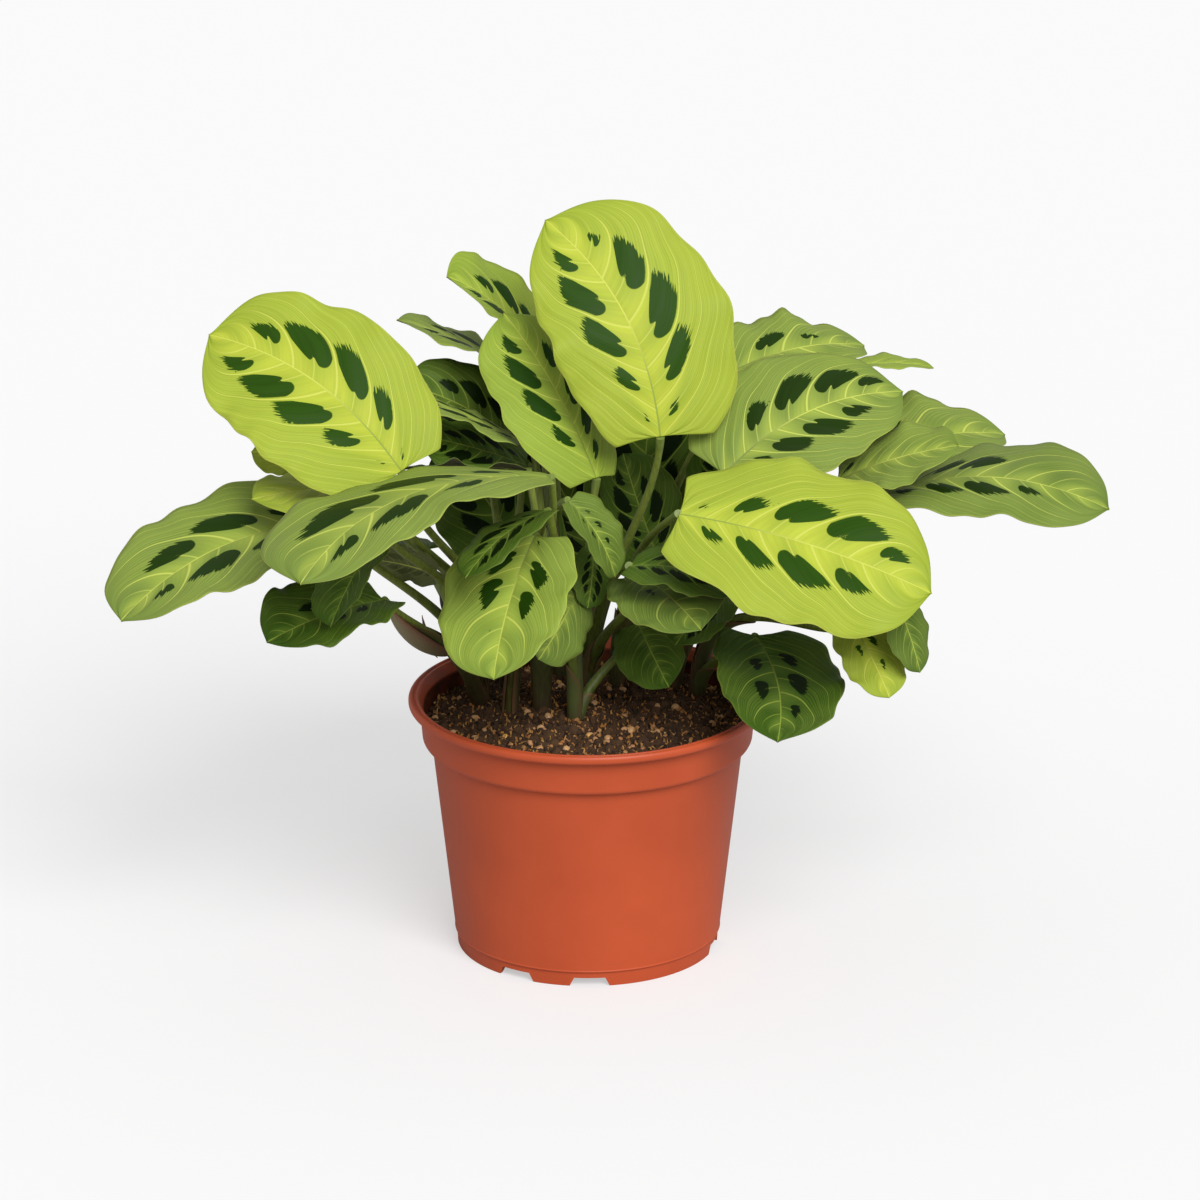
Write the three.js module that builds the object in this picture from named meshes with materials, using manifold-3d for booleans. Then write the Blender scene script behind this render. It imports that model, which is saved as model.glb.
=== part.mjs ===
// A potted prayer plant: broad waved leaves on thin stalks, rising in shoots from the soil of a
// moulded plastic nursery pot. Millimetres, +Z up. The origin is on the pot's axis, in the plane
// the pot stands on; the front of the plant looks along -Y.

import * as THREE from 'three';
import { mergeVertices } from 'three/addons/utils/BufferGeometryUtils.js';
import Module from 'manifold-3d';

const wasm = await Module();
wasm.setup();

// ---------------------------------------------------------------- driving dimensions

const GAP = 0.3; // clearance kept between neighbouring pieces

const POT = {
  height: 87.5,
  lipRadius: 60,
  lipDepth: 2.9,
  lipWidth: 3.6,
  bandTopRadius: 56.3,
  bandBottomRadius: 55.3,
  bandBottom: 72.4,
  bodyTopRadius: 52.3,
  bodyBottomRadius: 44.9,
  footRadius: 44.2,
  footHeight: 5,
  wall: 1.3,
  shelf: 1.8, // how far above the band's lower edge its inner wall begins
  basePlate: 3, // how high the underside of the floor stands
  floorThickness: 1.5,
  padRadius: 10,
  notchWidth: 11,
  notchHeight: 3,
  notchDepth: 6,
  notchTurns: [-33, 1, 77], // degrees from the front, and the same again half a turn round
  drains: 6,
  drainRadius: 3.5,
  drainCircle: 28,
  drainSides: 10,
  sides: 36,
};

const SOIL = {
  level: 79.5,
  mound: 2.2, // how much higher the soil is round the stalks than at the wall
  bump: 0.9,
  bottom: POT.basePlate + POT.floorThickness + GAP,
  rings: 4,
};

const BLADE = {
  thickness: 0.9,
  rib: 0.6, // how far the midrib stands out of the underside
  steps: 8, // rows from base to tip
  smallSteps: 6, // and on a leaf narrower than smallHalf
  smallHalf: 18.5,
  across: [-1, -0.62, -0.26, 0, 0.26, 0.62, 1], // columns from margin to margin
};

const STALK = {
  tipRadius: 1.15,
  footRadius: 2.5,
  sides: 5,
  steps: 6,
  plugRadius: 3.6,
  plugTaper: 0.9,
  plugSides: 8,
  plugDepth: 20,
  plugTop: 4, // how far the foot stands out of the soil
  footDepth: 3, // how deep in the soil the stalks part
  rise: 0.42, // how far a stalk goes straight up, as a share of its span
  approach: 0.3, // how far it holds the line by which it reaches its blade
};

// Where each shoot leaves the soil, [x, y].
const SHOOTS = {
  left_outer: [-36, 16],
  left_back: [-27, 31],
  left_front: [-26, 4],
  front: [-15, 6],
  front_right: [-4, -4],
  middle: [0, 20],
  middle_right: [10, 28],
  right: [29, 30],
  right_outer: [37, 21],
  back: [-9, 38],
  back_right: [13, 43],
};

const LIME = '#8fb04a';
const LEAF_GREEN = '#5f8a3c';
const GREY_GREEN = '#6f8f5e';
const DARK_GREEN = '#2f5530';

// Each leaf: the shoot it belongs to, the joint of blade and stalk, the tip, where its upper side
// looks, half its width, and how it is bent: arch lifts the midrib and bow swings it sideways (both
// as a share of the length), fold and curl are degrees of keel at the midrib and of roll out to the
// margin, twist is degrees from base to tip, lean makes one half wider, wave is the margin's
// waviness in mm. via moves the stalk's middle, and reach is the way it points where it meets the
// blade, if not simply up and outwards.
const LEAVES = {
  // the big lime leaves that face the front
  crown: { shoot: 'middle', base: [24, -11, 182], tip: [-14, 20, 247], face: [0.2, -0.9, 0.35],
    half: 30.5, color: LIME, arch: 0.08, bow: 0.09, fold: 6, curl: -16, lean: 0.1, wave: 1.6,
    phase: 1 },
  left_high: { shoot: 'left_back', base: [-61, -23, 174], tip: [-125, 8, 211],
    face: [0.1, -0.7, 0.7], half: 31, color: LIME, arch: 0.1, bow: 0.06, fold: 9, curl: -7,
    lean: -0.08, wave: 1.8, phase: 0.4 },
  right_front: { shoot: 'middle_right', base: [30, -46, 167], tip: [112, -56, 143],
    face: [0.2, -0.55, 0.8], half: 32, color: LIME, arch: 0.06, fold: 5, twist: 20, wave: 2,
    phase: -2.8, reach: [0.3, -0.8, 0.5] },
  // the grey-green ones that reach out to the sides
  left_long: { shoot: 'front', base: [-12, -56, 183], tip: [-91, -104, 163],
    face: [-0.4, -0.05, 0.9], half: 31, color: GREY_GREEN, arch: 0.1, bow: 0.13, fold: 2,
    twist: -24, lean: 0.2, wave: 1.6, phase: 2.4,
    via: [-6, 0, 0], reach: [-0.1, -0.5, 0.8] },
  far_left: { shoot: 'left_outer', base: [-85, -12, 153], tip: [-152, -52, 132],
    face: [-0.2, -0.35, 0.9], half: 27, color: GREY_GREEN, arch: 0.06, bow: 0.08, fold: 9, curl: -8,
    twist: 12, wave: 1.8, phase: 2.7 },
  right_mid: { shoot: 'middle_right', base: [45, -12, 169], tip: [105, 18, 188],
    face: [-0.05, -0.6, 0.8], half: 26, color: GREY_GREEN, arch: 0.1, bow: -0.06, fold: 3,
    curl: -14, twist: -15, lean: -0.1, wave: 1, phase: 1.7 },
  right_fold: { shoot: 'right', base: [83, -3, 164], tip: [122, -18, 181], face: [0.1, -0.45, 0.9],
    half: 16, color: GREY_GREEN, fold: 8, twist: -10, wave: 1.4 },
  right_back: { shoot: 'right', base: [88, 28, 155], tip: [141, 48, 163], face: [0.05, -0.4, 0.9],
    half: 20, color: GREY_GREEN, arch: 0.12, bow: -0.02, fold: 8, curl: -9, twist: -20, lean: -0.1,
    wave: 1.8, phase: -0.3 },
  far_right: { shoot: 'right', base: [96, -10, 161], tip: [171, -30, 163], face: [0.1, -0.15, 1],
    half: 27, color: GREY_GREEN, arch: 0.12, fold: 1, curl: -17, twist: 24, lean: -0.2, wave: 1.2,
    phase: -2.9 },
  // behind and above the middle
  mid_left_high: { shoot: 'middle', base: [3, -6, 166], tip: [-28, 26, 213], face: [0.6, -0.65, 0.4],
    half: 21, color: LEAF_GREEN, arch: 0.06, fold: 2, curl: -18, twist: -24, lean: -0.1, wave: 1.3,
    phase: 0.5 },
  back_left_top: { shoot: 'back', base: [-12, 54, 184], tip: [-47, 38, 222], face: [0.2, -0.3, 0.9],
    half: 19, color: LEAF_GREEN, bow: 0.08, fold: 16, curl: -4, twist: 6, wave: 1.2 },
  back_left_thin: { shoot: 'back', base: [-16, 55, 176], tip: [-64, 44, 205], face: [0, 0, 1],
    half: 16, color: GREY_GREEN, arch: 0.06, fold: 8, wave: 1.4 },
  back_right: { shoot: 'back_right', base: [48, 52, 184], tip: [94, 72, 187], face: [0, -0.4, 0.9],
    half: 18, color: GREY_GREEN, arch: 0.1, fold: 7, twist: -20, lean: -0.1, wave: 2 },
  right_thin: { shoot: 'back_right', base: [80, 38, 188], tip: [116, 38, 190], face: [0, 0.1, 1],
    half: 11, color: LEAF_GREEN, arch: 0.07, fold: 10, wave: 1.4 },
  // the darker leaves between them on the left
  left_dark_up: { shoot: 'left_back', base: [-22, 40, 160], tip: [-62, 38, 184],
    face: [0, -0.6, 0.8], half: 18, color: DARK_GREEN, arch: 0.08, bow: 0.04, wave: 1.2 },
  left_strip: { shoot: 'front', base: [-18, 4, 173], tip: [-60, 2, 193], face: [0.1, 0.1, 1],
    half: 13, color: GREY_GREEN, arch: 0.02, fold: 4, wave: 1 },
  left_dark_low: { shoot: 'back', base: [-20, 16, 163], tip: [-56, 8, 176], face: [-0.2, -0.4, 0.9],
    half: 16, color: DARK_GREEN, arch: 0.03, fold: 2, curl: -20, wave: 1.2 },
  left_wavy: { shoot: 'front', base: [-20, -12, 171], tip: [-64, -14, 171], face: [0, 0.35, 0.95],
    half: 9, color: DARK_GREEN, arch: 0.04, fold: 6, wave: 1.6, reach: [-0.2, -0.1, 1] },
  left_yellow: { shoot: 'left_back', base: [-68, -10, 163], tip: [-110, -26, 165],
    face: [-0.15, -0.2, 1], half: 17, color: LIME, curl: -14, wave: 1.4 },
  left_tiny: { shoot: 'left_back', base: [-85, 13, 165], tip: [-112, 15, 168], face: [-0.1, -0.5, 0.85],
    half: 10, color: LIME, wave: 0.8 },
  left_drip: { shoot: 'left_outer', base: [-67, -36, 157], tip: [-83, -66, 135],
    face: [-0.6, -0.7, 0.35], half: 13, color: DARK_GREEN, fold: 20, curl: -6, twist: 10, wave: 1,
    via: [0, 4, 10] },
  left_under: { shoot: 'left_outer', base: [-50, -2, 131], tip: [-72, 4, 134],
    face: [-0.2, 0.9, 0.4], half: 8, color: GREY_GREEN, wave: 0.8 },
  low_left: { shoot: 'left_outer', base: [-67, -34, 133], tip: [-104, -64, 129],
    face: [-0.25, -0.45, 0.85], half: 18, color: DARK_GREEN, fold: 16, curl: -6, twist: -18,
    wave: 1.8, phase: 1.2, via: [-5, -10, -4], reach: [-0.4, -0.6, 0.7] },
  // the young ones that hang at the front
  front: { shoot: 'left_front', base: [-17, -42, 158], tip: [-30, -88, 125],
    face: [-0.25, -0.8, 0.5], half: 21.5, color: LEAF_GREEN, arch: 0.02, bow: 0.03, fold: 9,
    curl: -8, twist: 9, lean: 0.05, wave: 1.3, phase: 1.7 },
  front_roll: { shoot: 'front', base: [-13, -52, 170], tip: [-39, -78, 156], face: [-0.6, -0.3, 0.75],
    half: 12, color: DARK_GREEN, arch: 0.08, fold: 8, curl: -14, twist: -12, wave: 0.8,
    reach: [-0.2, -0.6, 0.8] },
  behind_front: { shoot: 'front_right', base: [-3, -22, 133], tip: [-16, -50, 118],
    face: [0.6, -0.7, 0.35], half: 12, color: GREY_GREEN, curl: -18, wave: 0.8 },
  centre_narrow: { shoot: 'front', base: [-6, -36, 168], tip: [9, -40, 143],
    face: [0.3, -0.35, 0.9], half: 10, color: GREY_GREEN, arch: 0.1, fold: 16, curl: -6, wave: 0.6,
    reach: [0.5, -0.6, 0.4] },
  centre_small: { shoot: 'front_right', base: [2, -18, 145], tip: [0, -28, 128],
    face: [0.5, -0.75, 0.4], half: 7, color: DARK_GREEN, wave: 0.6 },
  dark_centre: { shoot: 'middle_right', base: [26, 30, 120], tip: [12, 50, 156], face: [-0.2, -1, 0.1],
    half: 15, color: DARK_GREEN, arch: 0.06, fold: 4, curl: -14, wave: 1.2 },
  dark_right: { shoot: 'right', base: [50, 24, 129], tip: [42, 36, 165], face: [0.2, -0.95, 0.2],
    half: 14, color: DARK_GREEN, arch: 0.06, wave: 1.2 },
  // the dark ones inside, behind the stalks
  inner_high: { shoot: 'back_right', base: [18, 52, 125], tip: [23, 70, 190],
    face: [-0.2, -1.3, 0.1], half: 22, color: DARK_GREEN, arch: 0.04, wave: 1, via: [2, 2, 1] },
  inner_left: { shoot: 'back', base: [-16, 46, 114], tip: [-49, 78, 152],
    face: [-0.2, -0.7, 0.3], half: 20, color: DARK_GREEN, arch: 0.04, wave: 1, via: [-2, 1, -3] },
  inner_middle: { shoot: 'back', base: [7, 52, 110], tip: [-20, 92, 150],
    face: [0.1, -1.1, 0.5], half: 16, color: DARK_GREEN, arch: 0.04, wave: 1, via: [-2, -2, -2] },
  // the low ones over the soil and the rim on the right
  right_dark: { shoot: 'middle', base: [14, -40, 147], tip: [49, -52, 142], face: [0.2, -0.3, 0.95],
    half: 13, color: DARK_GREEN, arch: 0.1, fold: 8, twist: 8, wave: 1, reach: [0.1, -0.9, 0.3] },
  right_low_grey: { shoot: 'middle', base: [18, -22, 137], tip: [37, -66, 134],
    face: [0, -0.55, 0.85], half: 18, color: GREY_GREEN, fold: 12, curl: -8, twist: 12, wave: 1 },
  right_behind: { shoot: 'middle_right', base: [44, -10, 128], tip: [29, -36, 118],
    face: [0, -0.5, 0.9], half: 11, color: DARK_GREEN, fold: 12, wave: 0.8 },
  low_centre: { shoot: 'front_right', base: [17, 2, 112], tip: [27, -30, 101],
    face: [-0.2, -0.8, 0.5], half: 12, color: DARK_GREEN, fold: 12, curl: -8, wave: 1 },
  low_right: { shoot: 'right_outer', base: [56, -8, 111], tip: [62, -68, 96], face: [0.2, -0.6, 0.8],
    half: 21.5, color: DARK_GREEN, arch: 0.02, bow: -0.06, fold: 14, curl: -6, twist: 12, wave: 1.2 },
  low_right_lime: { shoot: 'right_outer', base: [87, -30, 124], tip: [99, -51, 105],
    face: [0.25, -0.7, 0.65], half: 11, color: LIME, fold: 9, wave: 1.2, via: [0, 0, 20] },
  low_right_grey: { shoot: 'right_outer', base: [99, -38, 139], tip: [109, -46, 112],
    face: [0.5, -0.6, 0.6], half: 9.5, color: GREY_GREEN, curl: -18, twist: -12, wave: 0.6,
    via: [0, 0, 16] },
  // the far side
  back_wide_left: { shoot: 'left_back', base: [-36, 56, 158], tip: [-80, 94, 146],
    face: [-0.2, 0.4, 0.9], half: 25, color: GREY_GREEN, arch: 0.08, wave: 1.8 },
  back_wide_middle: { shoot: 'back', base: [-12, 74, 162], tip: [-38, 124, 150],
    face: [0, 0.5, 0.85], half: 24, color: LEAF_GREEN, arch: 0.08, fold: 8, wave: 1.8, phase: 2 },
  back_wide_right: { shoot: 'back_right', base: [28, 72, 158], tip: [50, 120, 143],
    face: [0.1, 0.5, 0.85], half: 24, color: GREY_GREEN, arch: 0.08, wave: 1.6, phase: 1 },
  back_far_right: { shoot: 'back_right', base: [62, 56, 150], tip: [108, 92, 136],
    face: [0.3, 0.4, 0.85], half: 24, color: GREY_GREEN, arch: 0.08, fold: 8, wave: 1.8, phase: 3 },
  back_low_left: { shoot: 'left_outer', base: [-56, 42, 124], tip: [-92, 70, 110],
    face: [-0.3, 0.4, 0.85], half: 19, color: DARK_GREEN, arch: 0.08, wave: 1.4 },
  back_low_middle: { shoot: 'back', base: [0, 70, 124], tip: [-6, 110, 108], face: [0, 0.5, 0.85],
    half: 19, color: DARK_GREEN, arch: 0.08, wave: 1.4, phase: 2 },
  back_low_right: { shoot: 'right', base: [50, 50, 116], tip: [82, 82, 102], face: [0.3, 0.4, 0.85],
    half: 19, color: DARK_GREEN, arch: 0.08, wave: 1.4, phase: 1 },
};

// ---------------------------------------------------------------- solids

const Z_UP = new THREE.Vector3(0, 0, 1);
const rad = THREE.MathUtils.degToRad;
const vec = (p) => new THREE.Vector3(...p);

function solidFrom(points, triangles) {
  const mesh = new wasm.Mesh({
    numProp: 3,
    vertProperties: new Float32Array(points.flatMap((p) => [p.x, p.y, p.z])),
    triVerts: new Uint32Array(triangles.flat()),
  });
  return new wasm.Manifold(mesh);
}

// A closed three.js geometry as a solid that can be joined and cut. Triangles that shrink to a
// line where a turned profile meets its axis are dropped.
function solidOf(geometry) {
  geometry.deleteAttribute('normal');
  geometry.deleteAttribute('uv');
  const { attributes, index } = mergeVertices(geometry, 1e-4);
  const points = [];
  for (let i = 0; i < attributes.position.count; i += 1) {
    points.push(new THREE.Vector3().fromBufferAttribute(attributes.position, i));
  }
  const triangles = [];
  for (let i = 0; i < index.count; i += 3) {
    const [a, b, c] = index.array.slice(i, i + 3);
    if (a !== b && b !== c && c !== a) triangles.push([a, b, c]);
  }
  return solidFrom(points, triangles);
}

// An upright cylinder with its lower end's centre at the origin.
function cylinder(height, topRadius, bottomRadius, sides) {
  const geometry = new THREE.CylinderGeometry(topRadius, bottomRadius, height, sides);
  return solidOf(geometry.rotateX(Math.PI / 2).translate(0, 0, height / 2));
}

function meshFrom(name, solid, color, roughness) {
  const { vertProperties, triVerts } = solid.getMesh();
  const flat = new THREE.BufferGeometry();
  flat.setAttribute('position', new THREE.BufferAttribute(vertProperties, 3));
  flat.setIndex(new THREE.BufferAttribute(triVerts, 1));
  flat.computeVertexNormals();
  const material = new THREE.MeshStandardMaterial({ color, roughness, metalness: 0 });
  const mesh = new THREE.Mesh(flat, material);
  mesh.name = name;
  return mesh;
}

// ---------------------------------------------------------------- leaf blades

// The blade's half width along it, as a share of the widest: round at the base, pointed at the tip.
function bladeOutline(t) {
  const q = Math.min(1, t / 0.975) ** 0.85;
  const oval = Math.max(0, 4 * q * (1 - q)) ** 0.55;
  const point = 0.05 * Math.min(1, (1.005 - t) / 0.05);
  return oval + point;
}

// The frame of a blade: its midrib curve, and the directions along it, across it and off its face.
function bladeFrame(leaf) {
  const base = vec(leaf.base);
  const tip = vec(leaf.tip);
  const length = base.distanceTo(tip);
  const chord = tip.clone().sub(base).divideScalar(length);
  const face = vec(leaf.face);
  face.addScaledVector(chord, -face.dot(chord)).normalize();
  const side = chord.clone().cross(face);
  const control = base.clone().add(tip).multiplyScalar(0.5);
  control.addScaledVector(face, 2 * length * (leaf.arch ?? 0.05));
  control.addScaledVector(side, 2 * length * (leaf.bow ?? 0));
  const curve = new THREE.QuadraticBezierCurve3(base, control, tip);
  const at = (t) => {
    const point = curve.getPoint(t);
    const along = curve.getTangent(t);
    const normal = face.clone().addScaledVector(along, -face.dot(along)).normalize();
    normal.applyAxisAngle(along, rad(leaf.twist ?? 0) * (t - 0.35));
    return { point, along, normal, across: along.clone().cross(normal) };
  };
  return { length, at };
}

// A point of the blade's middle surface at t from base to tip and u from margin to margin.
function bladePoint(leaf, frame, t, u) {
  const { point, along, normal, across } = frame.at(t);
  const out = Math.abs(u);
  const fold = rad(leaf.fold ?? 5);
  const curl = rad(leaf.curl ?? -12);
  const lean = 1 + Math.sign(u) * (leaf.lean ?? 0);
  const half = leaf.half * lean * bladeOutline(t);
  const sideways = (half * (Math.sin(fold + curl * out) - Math.sin(fold))) / curl;
  const lift = (half * (Math.cos(fold) - Math.cos(fold + curl * out))) / curl;
  const phase = (leaf.phase ?? 0) + 0.9 * Math.sign(u);
  const ripple = Math.sin(2 * Math.PI * 2.5 * t + phase) * Math.sqrt(Math.sin(Math.PI * t));
  const wave = leaf.wave * out ** 2.5 * ripple;
  const lobe = 0.16 * leaf.half * out ** 2 * (1 - t) ** 4 * Math.min(1, t / 0.05);
  const spot = point.clone().addScaledVector(across, sideways * Math.sign(u));
  spot.addScaledVector(normal, lift + wave).addScaledVector(along, -lobe);
  return { spot, normal };
}

function leafBlade(leaf) {
  const frame = bladeFrame(leaf);
  const steps = leaf.half < BLADE.smallHalf ? BLADE.smallSteps : BLADE.steps;
  const rows = steps + 1;
  const columns = BLADE.across.length;
  const points = [];
  for (const face of [1, -1]) {
    for (let row = 0; row < rows; row += 1) {
      const t = 0.5 - 0.5 * Math.cos((Math.PI * row) / steps);
      for (const u of BLADE.across) {
        const { spot, normal } = bladePoint(leaf, frame, t, u);
        const rib = face < 0 && u === 0 ? BLADE.rib * (1 - t) : 0;
        points.push(spot.addScaledVector(normal, face * (BLADE.thickness / 2 + rib)));
      }
    }
  }
  const top = (row, column) => row * columns + column;
  const under = (row, column) => rows * columns + top(row, column);
  const triangles = [];
  for (let row = 0; row < rows - 1; row += 1) {
    for (let column = 0; column < columns - 1; column += 1) {
      const corners = [[row, column], [row + 1, column], [row + 1, column + 1], [row, column + 1]];
      const upper = corners.map(([r, c]) => top(r, c));
      const lower = corners.map(([r, c]) => under(r, c));
      const splits = column < columns / 2 - 0.5 ? [[0, 1, 2], [0, 2, 3]] : [[0, 1, 3], [1, 2, 3]];
      for (const [a, b, c] of splits) {
        triangles.push([upper[a], upper[c], upper[b]], [lower[a], lower[b], lower[c]]);
      }
    }
  }
  const rim = [];
  for (let column = 0; column < columns - 1; column += 1) rim.push([0, column]);
  for (let row = 0; row < rows - 1; row += 1) rim.push([row, columns - 1]);
  for (let column = columns - 1; column > 0; column -= 1) rim.push([rows - 1, column]);
  for (let row = rows - 1; row > 0; row -= 1) rim.push([row, 0]);
  rim.forEach(([row, column], i) => {
    const [nextRow, nextColumn] = rim[(i + 1) % rim.length];
    const [a, b] = [top(row, column), top(nextRow, nextColumn)];
    const [c, d] = [under(nextRow, nextColumn), under(row, column)];
    triangles.push([b, a, d], [b, d, c]);
  });
  return solidFrom(points, triangles);
}

// ---------------------------------------------------------------- stalks

// The stalk runs from its shoot's foot, first upright, and reaches the blade from below.
function stalkCurve(leaf) {
  const [x, y] = SHOOTS[leaf.shoot];
  const foot = new THREE.Vector3(x, y, SOIL.level - STALK.footDepth);
  const joint = vec(leaf.base);
  const { along, normal } = bladeFrame(leaf).at(0);
  const reach = leaf.reach ? vec(leaf.reach) : along.clone().add(normal).add(Z_UP);
  reach.normalize();
  const end = joint.clone().addScaledVector(along, -GAP);
  const span = foot.distanceTo(end);
  const lower = foot.clone().addScaledVector(Z_UP, STALK.rise * span);
  lower.add(vec(leaf.via ?? [0, 0, 0]));
  const upper = end.clone().addScaledVector(reach, -STALK.approach * span);
  return new THREE.CubicBezierCurve3(foot, lower, upper, end);
}

function stalk(leaf) {
  const curve = stalkCurve(leaf);
  const points = [];
  let normal = new THREE.Vector3(1, 0, 0);
  for (let step = 0; step <= STALK.steps; step += 1) {
    const t = step / STALK.steps;
    const centre = curve.getPoint(t);
    const along = step < STALK.steps ? curve.getTangent(t) : bladeFrame(leaf).at(0).along;
    normal = normal.clone().addScaledVector(along, -normal.dot(along)).normalize();
    const across = along.clone().cross(normal);
    const radius = STALK.tipRadius + (STALK.footRadius - STALK.tipRadius) * (1 - t) ** 1.5;
    for (let side = 0; side < STALK.sides; side += 1) {
      const turn = (2 * Math.PI * side) / STALK.sides;
      const spot = centre.clone().addScaledVector(normal, radius * Math.cos(turn));
      points.push(spot.addScaledVector(across, radius * Math.sin(turn)));
    }
  }
  const n = STALK.sides;
  const last = STALK.steps * n;
  const triangles = [];
  for (let step = 0; step < STALK.steps; step += 1) {
    for (let side = 0; side < n; side += 1) {
      const a = step * n + side;
      const b = step * n + ((side + 1) % n);
      triangles.push([a, b, b + n], [a, b + n, a + n]);
    }
  }
  for (let side = 1; side < n - 1; side += 1) {
    triangles.push([0, side + 1, side], [last, last + side, last + side + 1]);
  }
  return solidFrom(points, triangles);
}

function shoot(name) {
  const [x, y] = SHOOTS[name];
  const height = STALK.plugDepth + STALK.plugTop;
  const plug = cylinder(height, STALK.plugRadius, STALK.plugTaper * STALK.plugRadius, STALK.plugSides);
  const stalks = Object.values(LEAVES).filter((leaf) => leaf.shoot === name).map(stalk);
  return wasm.Manifold.union([plug.translate(x, y, SOIL.level - STALK.plugDepth), ...stalks]);
}

// ---------------------------------------------------------------- soil

function soilHeight(x, y) {
  const share = Math.min(1, Math.hypot(x, y - 15) / 45);
  const mound = SOIL.mound * (1 - share * share);
  const bumps = Math.sin(0.31 * x + 1.2) * Math.cos(0.27 * y) + Math.sin(0.13 * x - 0.22 * y);
  return SOIL.level + mound - 1 + 0.5 * SOIL.bump * bumps;
}

function soil() {
  const shelf = POT.bandBottom + POT.shelf + GAP;
  const rings = [];
  for (let index = 1; index <= SOIL.rings; index += 1) {
    rings.push({ radius: ((insideRadius(SOIL.level) - GAP) * index) / SOIL.rings });
  }
  rings.push({ radius: insideRadius(shelf) - GAP, z: shelf });
  rings.push({ radius: insideRadius(POT.bandBottom) - GAP, z: shelf - 1 });
  rings.push({ radius: insideRadius(SOIL.bottom) - GAP, z: SOIL.bottom });
  const points = [new THREE.Vector3(0, 0, soilHeight(0, 0))];
  for (const { radius, z } of rings) {
    for (let side = 0; side < POT.sides; side += 1) {
      const turn = (2 * Math.PI * side) / POT.sides;
      const x = radius * Math.cos(turn);
      const y = radius * Math.sin(turn);
      points.push(new THREE.Vector3(x, y, z ?? soilHeight(x, y)));
    }
  }
  const ring = (index, side) => 1 + index * POT.sides + (side % POT.sides);
  const last = rings.length - 1;
  const triangles = [];
  for (let side = 0; side < POT.sides; side += 1) {
    triangles.push([0, ring(0, side), ring(0, side + 1)]);
    for (let index = 0; index < last; index += 1) {
      const [a, b] = [ring(index, side), ring(index, side + 1)];
      const [c, d] = [ring(index + 1, side + 1), ring(index + 1, side)];
      triangles.push([a, d, c], [a, c, b]);
    }
    if (side > 0 && side < POT.sides - 1) {
      triangles.push([ring(last, 0), ring(last, side + 1), ring(last, side)]);
    }
  }
  const holeRadius = STALK.plugRadius + GAP;
  const hole = cylinder(2 * STALK.plugDepth, holeRadius, holeRadius, STALK.plugSides);
  const holes = Object.values(SHOOTS).map(([x, y]) => (
    hole.translate(x, y, SOIL.level - STALK.plugDepth - GAP)));
  return solidFrom(points, triangles).subtract(wasm.Manifold.union(holes));
}

// ---------------------------------------------------------------- pot

// The radius of the pot's inner wall at a height: the body, and above a shelf the wider band.
function insideRadius(z) {
  const body = POT.bodyTopRadius - POT.bodyBottomRadius;
  const share = Math.min(1, (z - POT.footHeight) / (POT.bandBottom - POT.footHeight));
  const band = z > POT.bandBottom + POT.shelf ? POT.bandBottomRadius - POT.bodyTopRadius : 0;
  return POT.bodyBottomRadius + share * body + band - POT.wall;
}

function pot() {
  const top = POT.height;
  const bandTop = top - POT.lipDepth;
  const floorTop = POT.basePlate + POT.floorThickness;
  const inLip = POT.lipRadius - POT.lipWidth;
  const profile = [
    [0, 0],
    [POT.padRadius, 0],
    [POT.padRadius + 0.6, POT.basePlate],
    [POT.footRadius - 2.2, POT.basePlate],
    [POT.footRadius - 1.8, 0],
    [POT.footRadius - 0.3, 0],
    [POT.footRadius, POT.footHeight],
    [POT.bodyBottomRadius, POT.footHeight + 0.4],
    [POT.bodyTopRadius, POT.bandBottom],
    [POT.bandBottomRadius - 0.5, POT.bandBottom],
    [POT.bandBottomRadius, POT.bandBottom + 0.6],
    [POT.bandTopRadius, bandTop],
    [POT.lipRadius - 0.5, bandTop],
    [POT.lipRadius, bandTop + 0.6],
    [POT.lipRadius, top - 0.7],
    [POT.lipRadius - 0.7, top],
    [inLip, top],
    [POT.bandTopRadius - POT.wall, bandTop - 0.6],
    [POT.bandBottomRadius - POT.wall, POT.bandBottom + POT.shelf],
    [insideRadius(POT.bandBottom), POT.bandBottom + POT.shelf - 1],
    [insideRadius(floorTop), floorTop],
    [0, floorTop],
  ];
  const corners = profile.map(([radius, z]) => new THREE.Vector2(radius, z));
  const turned = new THREE.LatheGeometry(corners, POT.sides, Math.PI / 2);
  const shell = solidOf(turned.rotateX(Math.PI / 2));
  const cuts = [];
  const notch = solidOf(new THREE.BoxGeometry(POT.notchWidth, POT.notchDepth, POT.notchHeight + 1));
  for (const turn of POT.notchTurns.flatMap((side) => [side, side + 180])) {
    const placed = notch.translate(0, -POT.footRadius + 0.6, (POT.notchHeight - 1) / 2);
    cuts.push(placed.rotate(0, 0, turn));
  }
  const drain = cylinder(2 * floorTop, POT.drainRadius, POT.drainRadius, POT.drainSides);
  for (let i = 0; i < POT.drains; i += 1) {
    cuts.push(drain.translate(0, -POT.drainCircle, 0).rotate(0, 0, (360 * (i + 0.5)) / POT.drains));
  }
  return shell.subtract(wasm.Manifold.union(cuts));
}

// ---------------------------------------------------------------- the part

const group = new THREE.Group();
group.name = 'prayer_plant';
group.add(meshFrom('pot', pot(), '#b4552f', 0.5));
group.add(meshFrom('soil', soil(), '#2b1d14', 0.95));
for (const name of Object.keys(SHOOTS)) {
  group.add(meshFrom(`shoot_${name}`, shoot(name), '#6d7a3c', 0.5));
}
for (const [name, leaf] of Object.entries(LEAVES)) {
  group.add(meshFrom(`leaf_${name}`, leafBlade(leaf), leaf.color, 0.45));
}

export default group;
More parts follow.
